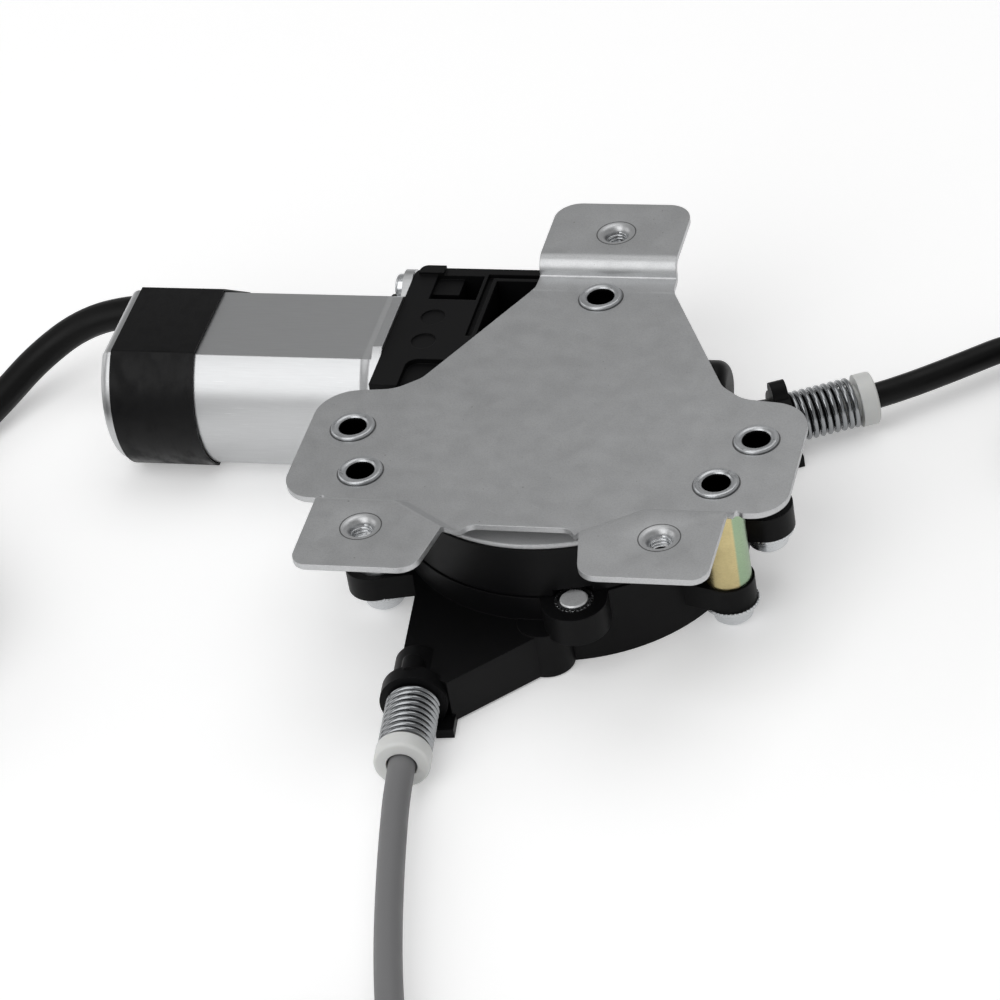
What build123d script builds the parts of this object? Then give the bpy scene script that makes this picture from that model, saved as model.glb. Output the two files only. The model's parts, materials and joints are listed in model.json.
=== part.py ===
from build123d import *
import math
import os

# Drive unit of a cable window regulator: a worm-geared motor and a cable drum under a pressed steel plate.
# Millimetres. The origin is on the drum axis, at the face that the drum housing rests on.
# +Z runs up the drum axis to the mounting plate, and the motor lies along -X.

# Small working gaps
RUNNING_GAP = 0.05
SEAT_GAP = 0.03
FLOOR_GAP = 0.1
LOOSE_GAP = 0.3
WALL = 2.0
FAR = 90.0

# Mounting plate
PLATE_TOP = 38.5
PLATE_THICKNESS = 1.5
TAB_RISE = 4.5
NECK_HALF_WIDTH = 16.9
REAR_TAB_HALF_WIDTH = 16.8
REAR_RISER_Y = 55.4
REAR_EDGE_Y = 79.6
REAR_TAB_CORNER = 6.0
SHOULDER_TOP = (18.0, 48.5)
SHOULDER_FOOT = (35.9, 13.8)
SHOULDER_FILLET = 9.0
LOBE_START_X = 41.5
LOBE_TOP_Y = 8.9
LOBE_HALF_WIDTH = 58.6
LOBE_FRONT_Y = -32.6
LOBE_REAR_CORNER = 9.5
LOBE_FRONT_CORNER = 8.0
RELIEF_X = 47.2
RELIEF_DEPTH = 2.2
FRONT_TAB_EDGE_Y = -61.0
FRONT_TAB_INNER_X = 18.6
FRONT_TAB_ROOT = (15.6, -45.4)
FRONT_TAB_CORNER = 4.0
FRONT_EDGE_Y = -39.5
FRONT_SWEEP_X = 11.5
RAMP_FOOT_Y = -32.4
RAMP_RUN = 4.8
RAMP_TURN_X = 27.5
RAMP_SKEW = 33.8
REAR_HOLE_Y = 67.4
FRONT_HOLE = (34.1, -47.0)
TAPPED_HOLE_RADIUS = 2.55
TAPPED_MOUTH_RADIUS = 4.5
BURR_RADIUS = 4.3
BURR_LENGTH = 3.0

# Standoffs that are swaged into the plate, most of them on one circle round the drum axis
HOLE_CIRCLE_MARGIN = 6.5
FRONT_HOLE_ANGLE = 28.0
SIDE_HOLE = (47.6, -5.9)
STANDOFF_BORE = 3.05
FRONT_STANDOFF_RADIUS = 5.3
SIDE_STANDOFF_RADIUS = 4.3
STANDOFF_NECK = 3.9
HEAD_RADIUS = 5.2
HEAD_RISE = 0.8
HEAD_OUTER_ROUND = 0.6
HEAD_INNER_ROUND = 1.2

# Drum housing
DRUM_HOUSING_RADIUS = 40.5
DRUM_HOUSING_HEIGHT = 18.5
DRUM_HOUSING_WALL = 2.6
DRUM_HOUSING_FLOOR = 2.2
EAR_TOP = 12.0
EAR_THICKNESS = 6.4
EAR_RADIUS = 6.5
RIGHT_EAR_RADIUS = 5.9
LEFT_EAR_RADIUS = 6.6
LEFT_EAR_SHIFT = (-1.4, -0.2)
INSERT_EAR_RADIUS = 7.5
CORING_DEPTH = 5.4
INSERT_EAR = (10.2, -40.4)
INSERT_EAR_TOP = 18.6
INSERT_EAR_THICKNESS = 7.3
FRONT_BOSS = (2.2, -40.6)
FRONT_BOSS_RADIUS = 6.0
RIB_THICKNESS = 1.8
REAR_OF_RIM_Y = 24.0
ARM_BOTTOM = 0.6
FRONT_ARM_OUTLINE = [
    (-22.0, -20.0),
    (-34.5, -20.0),
    (-29.9, -33.0),
    (-27.2, -56.5),
    (-15.0, -63.2),
    (2.6, -45.6),
    (8.0, -30.0),
]
SIDE_ARM_TOP = 10.9
SIDE_ARM_OUTLINE = [
    (22.0, 18.0),
    (20.0, 33.0),
    (29.0, 42.6),
    (37.5, 45.4),
    (43.4, 34.4),
    (38.0, 24.0),
    (33.0, 15.0),
]
ROPE_WAY_RADIUS = 2.0
RIB_COUNT = 14

# Gear housing
GEAR_CUP_RADIUS = 40.1
GEAR_CUP_TOP = 32.0
COVER_THICKNESS = 1.0
COVER_RADIUS = 39.5
COVER_ROUND = 0.4
BLOCK_TOP = 36.0
BLOCK_BOTTOM = 1.2
BLOCK_LEFT = -49.5
BLOCK_RIGHT = -11.0
BLOCK_MARGIN = 2.8
SIDE_EAR_TOP = 20.5
WORM_END_X = 31.0
WORM_HOUSING_RADIUS = 7.5
REAR_BOSS_TOP = 29.0
REAR_BOSS_RADIUS = 6.2
POCKET_DEPTH = 9.0
POCKET_LEFT = -43.4
POCKET_WIDTH = 11.8
POCKET_FRONT = 48.4
POCKET_LENGTH = 9.8
SCREW_COVER_SIZE = (6.6, 6.4)
SCREW_COVER_TOP = 34.8
REAR_LIP_SIZE = (6.3, 3.0)
REAR_LIP_LEFT = -48.2
REAR_LIP_RISE = 0.8
FRONT_RECESS_LEFT = -42.6
FRONT_RECESS_REAR = 24.5
FRONT_RECESS_DEPTH = 1.5
WELL_LEFT = -28.2
WELL_FRONT = 34.0
WELL_REAR = 56.4
WELL_DEPTH = 15.0
DISC_MARK_RADIUS = 3.0
DISC_MARK_X = -40.5
DISC_MARK_YS = (31.6, 41.2)

# Worm gear
GEAR_MODULE = 1.0
WHEEL_TEETH = 68
WORM_PITCH_RADIUS = 3.6
WORM_LENGTH = 22.0
WORM_THREAD_TURNS = 5.5
WORM_Z = 18.7
WHEEL_WIDTH = 8.0
TOOTH_BACKLASH = 0.24
TOOTH_FLANK = 20.0
WHEEL_HUB_RADIUS = 11.0
DAMPER_OUTER = 24.0
DAMPER_FLOOR = 2.0
DAMPER_LOBES = 3
LOBE_ANGLE = 16.0
RIB_DROP = 1.6
CLAW_LIFT = 1.6
DRIVER_RADIUS = 20.0
DRIVER_THICKNESS = 2.4
DRIVER_SHAFT_RADIUS = 7.9
SPINDLE_RADIUS = 3.0
WASHER_RADIUS = 6.5
WASHER_THICKNESS = 0.8

# Cable drum and ropes
ROPE_RADIUS = 0.75
DRUM_ROPE_RADIUS = 26.0
DRUM_RIM = 0.5
DRUM_BOTTOM = 2.6
DRUM_HEIGHT = 9.0
GROOVE_PITCH = 2.2
GROOVE_RADIUS = 1.05
ROPE_STANDOFF = 10.5
NIPPLE_POST_RADIUS = 1.6
DOG_TEETH = 6
DOG_HEIGHT = 3.2

# Motor, with its axis along X at the height of the worm
CAN_RADIUS = 20.8
CAN_FLATNESS = 0.79
CAN_WALL = 1.6
CAN_END_X = -120.4
FLANGE_THICKNESS = 2.4
FLANGE_LIP = 1.8
FLANGE_EAR_RISE = 0.65
FLANGE_EAR_RADIUS = 4.3
MOTOR_SCREW_RADIUS = 2.0
MOTOR_SCREW_LENGTH = 10.0
MOTOR_HEAD_RADIUS = 3.2
END_BOSS_RADIUS = 7.6
END_BOSS_DEPTH = 3.0
END_BOSS_WALL = 1.2
SHAFT_RADIUS = 3.0
MAGNET_THICKNESS = 4.6
MAGNET_OVERHANG = 3.0
MAGNET_CENTRE_X = -87.0
MAGNET_SPAN = 118.0
AIR_GAP = 0.8
CORE_LENGTH = 32.0
CORE_SLOTS = 8
SLOT_DEPTH = 6.0
SLOT_WIDTH = 2.6
WINDING_OVERHANG = 5.0
COMMUTATOR_RADIUS = 6.0
COMMUTATOR_LENGTH = 11.0
COMMUTATOR_X = -57.5
BRUSH_CARD_THICKNESS = 2.4
BRUSH_WIDTH = 5.0
BRUSH_LENGTH = 7.5
BUSH_LENGTH = 7.0
BALL_RADIUS = 1.5
BALL_GAP = 0.1
TAPE_THICKNESS = 0.5
TAPE_RIGHT_X = -96.2

# Cable outlets: each is a point on its axis, its heading and its sizes
OUTLET_Z = 7.5
FRONT_OUTLET_BASE = (-22.9, -64.0)
FRONT_OUTLET_HEADING = -83.0
SIDE_OUTLET_BASE = (42.3, 42.1)
SIDE_OUTLET_HEADING = 26.2
OUTLET_FLANGE_RADIUS = 7.7
OUTLET_FLANGE_THICKNESS = 1.5
OUTLET_FLANGE_BACK = 2.5
FERRULE_MOUTH_DEPTH = 3.5
FERRULE_MOUTH_FLARE = 0.4
THROAT_RADIUS = 5.8
SPIGOT_RADIUS = 4.6
SPIGOT_BORE = 4.05
SPIGOT_LENGTH = 11.0
SPRING_LENGTH = 16.5
SPRING_MEAN_RADIUS = 5.5
SPRING_WIRE_RADIUS = 0.7
SPRING_TURNS = 7.5
FERRULE_RADIUS = 6.4
FERRULE_LENGTH = 4.2
FERRULE_TUBE_LENGTH = 12.0
FERRULE_TUBE_RADIUS = SPIGOT_BORE - RUNNING_GAP

# Cords
CONDUIT_RADIUS = 3.1
LEAD_RADIUS = 4.0
LEAD_RISE = 1.5
CONDUIT_COIL_RADIUS = 31.5
CONDUIT_COIL_TURNS = 2.0
LEAD_COIL_RADIUS = 40.5
LEAD_COIL_TURNS = 2.0
END_CAP_RADIUS = 4.4
END_CAP_LENGTH = 12.0
END_COLLAR_RADIUS = 5.6
ROPE_END_LENGTH = 16.0
NIPPLE_RADIUS = 2.6
NIPPLE_LENGTH = 6.0
PLUG_LENGTH = 24.0
PLUG_WIDTH = 14.0
PLUG_HEIGHT = 9.0
PLUG_NECK_RADIUS = 4.8
TAIL_RUN = 20.0
TAIL_BEND = 14.0
FRONT_TAIL_TURN = 140.0
SIDE_TAIL_TURN = 100.0
LEAD_TAIL_TURN = 220.0

# Screws
SCREW_RADIUS = 2.95
SCREW_HEAD_RADIUS = 4.6
SCREW_FLANGE_RADIUS = 6.2
SCREW_HEAD_HEIGHT = 5.2
SCREW_BITE = 9.0
EAR_HOLE_RADIUS = 3.2
INSERT_RADIUS = 4.4
INSERT_BORE = 3.25
INSERT_KNURLS = 24

# Worked out from the values above
PLATE_BOTTOM = PLATE_TOP - PLATE_THICKNESS
HOLE_CIRCLE_RADIUS = DRUM_HOUSING_RADIUS + HOLE_CIRCLE_MARGIN
WHEEL_PITCH_RADIUS = GEAR_MODULE * WHEEL_TEETH / 2
WORM_Y = WHEEL_PITCH_RADIUS + WORM_PITCH_RADIUS
WORM_TIP_RADIUS = WORM_PITCH_RADIUS + GEAR_MODULE
WORM_ROOT_RADIUS = WORM_PITCH_RADIUS - 1.25 * GEAR_MODULE
WORM_LEAD = math.pi * GEAR_MODULE
WHEEL_TIP_RADIUS = WHEEL_PITCH_RADIUS + GEAR_MODULE
WHEEL_ROOT_RADIUS = WHEEL_PITCH_RADIUS - 1.25 * GEAR_MODULE
WHEEL_BOTTOM = WORM_Z - WHEEL_WIDTH / 2
WHEEL_TOP = WORM_Z + WHEEL_WIDTH / 2
GEAR_CAVITY_RADIUS = WHEEL_TIP_RADIUS + 0.7
TUNNEL_RADIUS = WORM_TIP_RADIUS + LOOSE_GAP
BUSH_RADIUS = TUNNEL_RADIUS - SEAT_GAP
SPIGOT_RING_RADIUS = DRUM_HOUSING_RADIUS - DRUM_HOUSING_WALL - LOOSE_GAP
DRUM_RADIUS = DRUM_ROPE_RADIUS + DRUM_RIM
DRUM_CAVITY_RADIUS = DRUM_RADIUS + 1.2
CAN_HALF_FLAT = CAN_FLATNESS * CAN_RADIUS
CAN_MOUTH_X = BLOCK_LEFT - FLANGE_THICKNESS
FLANGE_EAR_OFFSET = (CAN_RADIUS, FLANGE_EAR_RISE * CAN_RADIUS)
BLOCK_FRONT = WORM_Y - CAN_RADIUS - BLOCK_MARGIN
BLOCK_REAR = WORM_Y + CAN_RADIUS + BLOCK_MARGIN
MAGNET_LENGTH = CORE_LENGTH + 2 * MAGNET_OVERHANG
FRONT_HOLE_X = HOLE_CIRCLE_RADIUS * math.cos(math.radians(FRONT_HOLE_ANGLE))
FRONT_HOLE_Y = -HOLE_CIRCLE_RADIUS * math.sin(math.radians(FRONT_HOLE_ANGLE))
ARMATURE_RADIUS = CAN_RADIUS - CAN_WALL - MAGNET_THICKNESS - AIR_GAP
EAR_BOTTOM = EAR_TOP - EAR_THICKNESS
SIDE_EAR_BOTTOM = SIDE_EAR_TOP - EAR_THICKNESS
COVER_TOP = GEAR_CUP_TOP + SEAT_GAP + COVER_THICKNESS
LEAD_Y = WORM_Y + CAN_RADIUS + LEAD_RADIUS + 0.5
LEAD_Z = WORM_Z + LEAD_RISE
REAR_BALL_X = CAN_END_X - END_BOSS_DEPTH + END_BOSS_WALL + SEAT_GAP + BALL_RADIUS
FRONT_BALL_X = WORM_END_X - WALL - SEAT_GAP - BALL_RADIUS

FERRULE_CAP_START = OUTLET_FLANGE_THICKNESS + SPRING_LENGTH + 0.1
FERRULE_START = FERRULE_CAP_START - FERRULE_TUBE_LENGTH
CONDUIT_START = FERRULE_CAP_START - 3.0
FRONT_BUSH_X = BLOCK_LEFT + 10.0
END_BUSH_X = WORM_END_X - WALL - BUSH_LENGTH - 0.5

# The front rope leaves the drum on one side and the side rope on the other
ROPE_SIDES = (-1, 1)
ROPE_TURNS = 3

MOTOR_PLANE = Plane(origin=(0, WORM_Y, WORM_Z), x_dir=(0, 1, 0), z_dir=(1, 0, 0))


def post(radius, bottom, top, centre=(0, 0)):
    """A round solid that stands on a level and ends at another."""
    return Pos(centre[0], centre[1], (bottom + top) / 2) * Cylinder(radius, top - bottom)


def ring(outer, inner, bottom, top, centre=(0, 0)):
    """A round solid with a through hole."""
    return post(outer, bottom, top, centre) - post(inner, bottom - 1, top + 1, centre)


def block(x_range, y_range, z_range):
    """A box given by its limits on each axis."""
    size = [high - low for low, high in (x_range, y_range, z_range)]
    middle = [(high + low) / 2 for low, high in (x_range, y_range, z_range)]
    return Pos(*middle) * Box(*size)


def motor_post(radius, left, right, offset=(0, 0)):
    """A round solid along the motor axis, between two X values."""
    place = Pos((left + right) / 2, WORM_Y + offset[0], WORM_Z + offset[1])
    return place * Rot(0, 90, 0) * Cylinder(radius, right - left)


def revolved(points, centre=(0, 0)):
    """A solid turned about a vertical axis from (radius, height) points."""
    outline = Polyline(*[(radius, 0, height) for radius, height in points], close=True)
    return Pos(centre[0], centre[1], 0) * revolve(make_face(outline), Axis.Z)


def under_ramp(foot, turn):
    """Everything below a sheet that ramps up in front of a line through a foot point."""
    far = 120
    depth = -20
    points = [
        (far, 0),
        (0, 0),
        (-RAMP_RUN, TAB_RISE),
        (-far, TAB_RISE),
        (-far, depth),
        (far, depth),
    ]
    line = FilletPolyline(*points, radius=[2.0, 2.0, 0.01, 0.01], close=False)
    face = make_face(line + Line(points[-1], points[0]))
    solid = extrude(Plane.YZ * face, far, both=True)
    return Pos(foot[0], foot[1], 0) * Rot(0, 0, turn) * solid


def plate_outline():
    """The plate seen from above, as a face."""
    shoulder = [
        (REAR_TAB_HALF_WIDTH, REAR_EDGE_Y),
        (REAR_TAB_HALF_WIDTH, REAR_RISER_Y),
        (NECK_HALF_WIDTH, SHOULDER_TOP[1] + 2.5),
        SHOULDER_TOP,
        SHOULDER_FOOT,
        (LOBE_START_X, LOBE_TOP_Y + 0.4),
        (LOBE_HALF_WIDTH - 0.4, LOBE_TOP_Y - 1.5),
        (LOBE_HALF_WIDTH, LOBE_FRONT_Y + 0.7),
        (RELIEF_X + 2.2, LOBE_FRONT_Y + 0.5),
        (RELIEF_X, LOBE_FRONT_Y + RELIEF_DEPTH),
    ]
    tab = [
        (RELIEF_X, FRONT_TAB_EDGE_Y),
        (FRONT_TAB_INNER_X, FRONT_TAB_EDGE_Y),
        FRONT_TAB_ROOT,
        (FRONT_SWEEP_X, FRONT_EDGE_Y),
    ]
    right = shoulder + tab
    left = [(-x, y) for x, y in reversed(right)]
    radii = [REAR_TAB_CORNER, 0.8, 3.0, 6.0, 6.0, 8.0, LOBE_REAR_CORNER, LOBE_FRONT_CORNER, 1.2, 0.8]
    radii += [FRONT_TAB_CORNER, 5.0, 3.0, 3.0]
    both_radii = radii + list(reversed(radii))
    line = FilletPolyline(*(right + left), radius=both_radii, close=True)
    return make_face(line)


def mount_plate():
    """The pressed plate: a flat sheet, two ramped front tabs and a joggled rear tab."""
    side = {}
    for hand in (1, -1):
        straight = under_ramp((0, RAMP_FOOT_Y), 0)
        skewed = under_ramp((hand * RAMP_TURN_X, RAMP_FOOT_Y), hand * RAMP_SKEW)
        half = block((0, 90), (-90, 90), (-20, 20))
        if hand < 0:
            half = mirror(half, Plane.YZ)
        side[hand] = straight & skewed & half
    front = side[1] + side[-1] + block((-90, 90), (-90, 90), (-20, 0))
    sheet = front - Pos(0, 0, -PLATE_THICKNESS) * front
    joggle_start = REAR_RISER_Y - 6
    sheet &= block((-90, 90), (-90, joggle_start), (-20, 20))
    thick = PLATE_THICKNESS
    profile = FilletPolyline(
        (joggle_start, 0),
        (REAR_RISER_Y, 0),
        (REAR_RISER_Y, TAB_RISE),
        (REAR_EDGE_Y + 1, TAB_RISE),
        (REAR_EDGE_Y + 1, TAB_RISE - thick),
        (REAR_RISER_Y + thick, TAB_RISE - thick),
        (REAR_RISER_Y + thick, -thick),
        (joggle_start, -thick),
        radius=[0.01, 0.5, 3.6, 0.01, 0.01, 2.1, 2.0, 0.01],
        close=True,
    )
    sheet += extrude(Plane.YZ * make_face(profile), 60, both=True)
    sheet &= extrude(plate_outline(), 30, both=True)
    plate = Pos(0, 0, PLATE_TOP) * sheet
    for spot in tapped_hole_spots():
        top = PLATE_TOP + TAB_RISE
        low = top - thick - BURR_LENGTH
        plate += post(BURR_RADIUS, low, top - thick / 2, spot)
        plate -= post(TAPPED_HOLE_RADIUS, low - 1, top + 1, spot)
        mouth = plate.edges().filter_by(GeomType.CIRCLE).filter_by_position(Axis.Z, top - 0.01, top + 0.01)
        mouth = mouth.sort_by_distance((spot[0], spot[1], top))[0]
        plate = fillet(mouth, TAPPED_MOUTH_RADIUS - TAPPED_HOLE_RADIUS)
    for spot in front_spots() + side_spots() + [(0, HOLE_CIRCLE_RADIUS)]:
        plate -= post(STANDOFF_NECK + SEAT_GAP, PLATE_BOTTOM - 1, PLATE_TOP + 1, spot)
    return plate


def tapped_hole_spots():
    """Centres of the three tapped holes in the raised tabs."""
    x, y = FRONT_HOLE
    return [(0, REAR_HOLE_Y), (-x, y), (x, y)]


def front_spots():
    """Centres of the two long standoffs, left then right."""
    return [(-FRONT_HOLE_X, FRONT_HOLE_Y), (FRONT_HOLE_X, FRONT_HOLE_Y)]


def side_spots():
    """Centres of the two side standoffs, left then right."""
    return [(-SIDE_HOLE[0], SIDE_HOLE[1]), SIDE_HOLE]


def standoff(spot, bottom, radius):
    """A turned standoff whose neck passes through the plate and is rolled over on top."""
    low = PLATE_BOTTOM - SEAT_GAP
    high = PLATE_TOP + SEAT_GAP
    points = [
        (STANDOFF_BORE, bottom),
        (radius, bottom),
        (radius, low),
        (STANDOFF_NECK, low),
        (STANDOFF_NECK, high),
        (HEAD_RADIUS, high),
        (HEAD_RADIUS, high + HEAD_RISE),
        (STANDOFF_BORE, high + HEAD_RISE),
    ]
    body = revolved(points, spot)
    rims = body.edges().filter_by(GeomType.CIRCLE).group_by(Axis.Z)[-1].sort_by(SortBy.RADIUS)
    body = fillet(rims[0], HEAD_INNER_ROUND)
    outer = body.edges().filter_by(GeomType.CIRCLE).group_by(Axis.Z)[-1].sort_by(SortBy.RADIUS)[-1]
    return fillet(outer, HEAD_OUTER_ROUND)


def ear_web(spot, radius, z_range, spread):
    """An ear round a spot with tangent sides that widen towards the drum axis."""
    heading = math.degrees(math.atan2(spot[1], spot[0]))
    reach = math.hypot(*spot)
    web = make_face(
        Polyline(
            (0, -spread),
            (reach, -radius),
            (reach, radius),
            (0, spread),
            close=True,
        )
    )
    height = z_range[1] - z_range[0]
    plate = Pos(0, 0, z_range[0]) * extrude(web, height)
    return Rot(0, 0, heading) * (plate + post(radius, z_range[0], z_range[1], (reach, 0)))


def outlet_frame(base, heading):
    """The place of an outlet: local +X runs out along the cable at the outlet's height."""
    return Pos(base[0], base[1], OUTLET_Z) * Rot(0, 0, heading)


def outlet_post(radius, start, end):
    """A round solid along the outlet's local X axis."""
    return Pos((start + end) / 2, 0, 0) * Rot(0, 90, 0) * Cylinder(radius, end - start)


def outlets():
    """The two cable outlets as (base, heading) pairs, front then side."""
    front = (FRONT_OUTLET_BASE, FRONT_OUTLET_HEADING)
    side = (SIDE_OUTLET_BASE, SIDE_OUTLET_HEADING)
    return [front, side]


def outlet_arm(base, heading, outline, top, details):
    """The moulded arm that carries an outlet: a flat body, a throat, a flange ring and a spigot."""
    body = Pos(0, 0, ARM_BOTTOM) * extrude(make_face(Polyline(*outline, close=True)), top - ARM_BOTTOM)
    throat = outlet_post(THROAT_RADIUS, -12.0, 0)
    collar = outlet_post(OUTLET_FLANGE_RADIUS, -OUTLET_FLANGE_BACK, OUTLET_FLANGE_THICKNESS)
    spigot = outlet_post(SPIGOT_RADIUS, 0, OUTLET_FLANGE_THICKNESS + SPIGOT_LENGTH)
    carrier = outlet_frame(base, heading) * (throat + collar + spigot + details)
    above_the_rest = block((-FAR, FAR), (-FAR, FAR), (0, FAR))
    return body + (carrier & above_the_rest)


def outlet_hump(along, across, rise):
    """A rounded hump on top of an outlet, from its axis up to a height above it."""
    half = (across[1] - across[0]) / 2
    middle = (across[0] + across[1]) / 2
    crown = Pos((along[0] + along[1]) / 2, middle, rise - half) * Rot(0, 90, 0) * Cylinder(half, along[1] - along[0])
    return crown + block(along, across, (0, rise - half))


def outlet_foot(along, across, top):
    """A foot below an outlet's flange that stands on the resting face."""
    return block(along, across, (-OUTLET_Z, top - OUTLET_Z))


def rod(start, end, radius):
    """A round bar between two points."""
    line = Line(start, end)
    return sweep(Plane(line @ 0, z_dir=line % 0) * Circle(radius), path=line)


def rope_contact(base, side):
    """The point where a rope touches the drum, on the tangent from an outlet."""
    distance = math.hypot(*base)
    bearing = math.atan2(base[1], base[0])
    opening = math.acos(DRUM_ROPE_RADIUS / distance)
    return bearing + side * opening


def contact_point(angle, z=0.0):
    """A point at the rope's radius on the drum."""
    return DRUM_ROPE_RADIUS * math.cos(angle), DRUM_ROPE_RADIUS * math.sin(angle), z


def outlet_bore(base, heading, side):
    """The way for the ferrule through an outlet, and for the rope from there to the drum."""
    outer = OUTLET_FLANGE_THICKNESS + SPIGOT_LENGTH + 1
    wide = outlet_frame(base, heading) * outlet_post(SPIGOT_BORE, -1.5, outer)
    start = contact_point(rope_contact(base, side), OUTLET_Z)
    return wide + rod((base[0], base[1], OUTLET_Z), start, ROPE_WAY_RADIUS)


def drum_housing():
    """The lower black moulding: a ribbed cup with three ears, an insert ear and two outlet arms."""
    body = post(DRUM_HOUSING_RADIUS, 0, DRUM_HOUSING_HEIGHT)
    insert_low = INSERT_EAR_TOP - INSERT_EAR_THICKNESS
    body += ear_web(INSERT_EAR, INSERT_EAR_RADIUS, (insert_low, INSERT_EAR_TOP), 14.0)
    body -= rear_of_rim(0)
    left, right = front_spots()
    left_ear = (left[0] + LEFT_EAR_SHIFT[0], left[1] + LEFT_EAR_SHIFT[1])
    rear = (0, HOLE_CIRCLE_RADIUS)
    ears = ((left_ear, LEFT_EAR_RADIUS, 18.0), (right, RIGHT_EAR_RADIUS, 18.0), (rear, EAR_RADIUS, 14.0))
    for spot, radius, spread in ears:
        body += ear_web(spot, radius, (EAR_BOTTOM, EAR_TOP), spread)
    body += post(FRONT_BOSS_RADIUS, 0.4, insert_low + 1, FRONT_BOSS)
    front_details = outlet_hump((-6.0, -1.5), (-2.6, 2.6), 8.2) + outlet_foot((-2.5, 5.0), (4.5, 8.7), 2.4)
    side_details = outlet_hump((-2.5, 1.2), (-2.2, 3.8), 10.5) + outlet_foot((-2.5, 1.5), (-10.0, -4.5), 3.0)
    shapes = (
        (FRONT_ARM_OUTLINE, EAR_TOP, front_details),
        (SIDE_ARM_OUTLINE, SIDE_ARM_TOP, side_details),
    )
    for (base, heading), (outline, top, details) in zip(outlets(), shapes):
        body += outlet_arm(base, heading, outline, top, details)
    seat_radius = DRUM_HOUSING_RADIUS - DRUM_HOUSING_WALL
    body -= post(seat_radius, EAR_TOP - SEAT_GAP, INSERT_EAR_TOP + 1)
    body -= post(DRUM_CAVITY_RADIUS, DRUM_HOUSING_FLOOR, EAR_TOP + 1)
    body -= underside_coring()
    for (base, heading), side in zip(outlets(), ROPE_SIDES):
        body -= outlet_bore(base, heading, side)
    for spot in (left, right, rear):
        body -= post(EAR_HOLE_RADIUS, EAR_BOTTOM - 1, EAR_TOP + 1, spot)
    body -= post(INSERT_RADIUS + SEAT_GAP, insert_low - 1, INSERT_EAR_TOP + 1, INSERT_EAR)
    body -= post(SPINDLE_RADIUS + SEAT_GAP, -1, DRUM_HOUSING_FLOOR + 1)
    return body


def rear_of_rim(gap):
    """The space behind the drum where the rim stops at ear height, to let the worm housing in."""
    return block((-FAR, FAR), (REAR_OF_RIM_Y + gap, FAR), (EAR_TOP, DRUM_HOUSING_HEIGHT + 1))


def underside_coring():
    """Pockets between radial ribs that lighten the ring outside the drum cavity."""
    outer = DRUM_HOUSING_RADIUS - DRUM_HOUSING_WALL
    inner = DRUM_CAVITY_RADIUS + WALL
    pocket = ring(outer, inner, -1, CORING_DEPTH)
    for number in range(RIB_COUNT):
        turn = 360 * number / RIB_COUNT + 180 / RIB_COUNT
        bar = block((0, FAR), (-RIB_THICKNESS / 2, RIB_THICKNESS / 2), (-2, CORING_DEPTH + 1))
        pocket -= Rot(0, 0, turn) * bar
    for (base, _), side in zip(outlets(), ROPE_SIDES):
        start = contact_point(rope_contact(base, side), OUTLET_Z)
        pocket -= rod((base[0], base[1], OUTLET_Z), start, ROPE_WAY_RADIUS + WALL)
    return pocket


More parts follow.
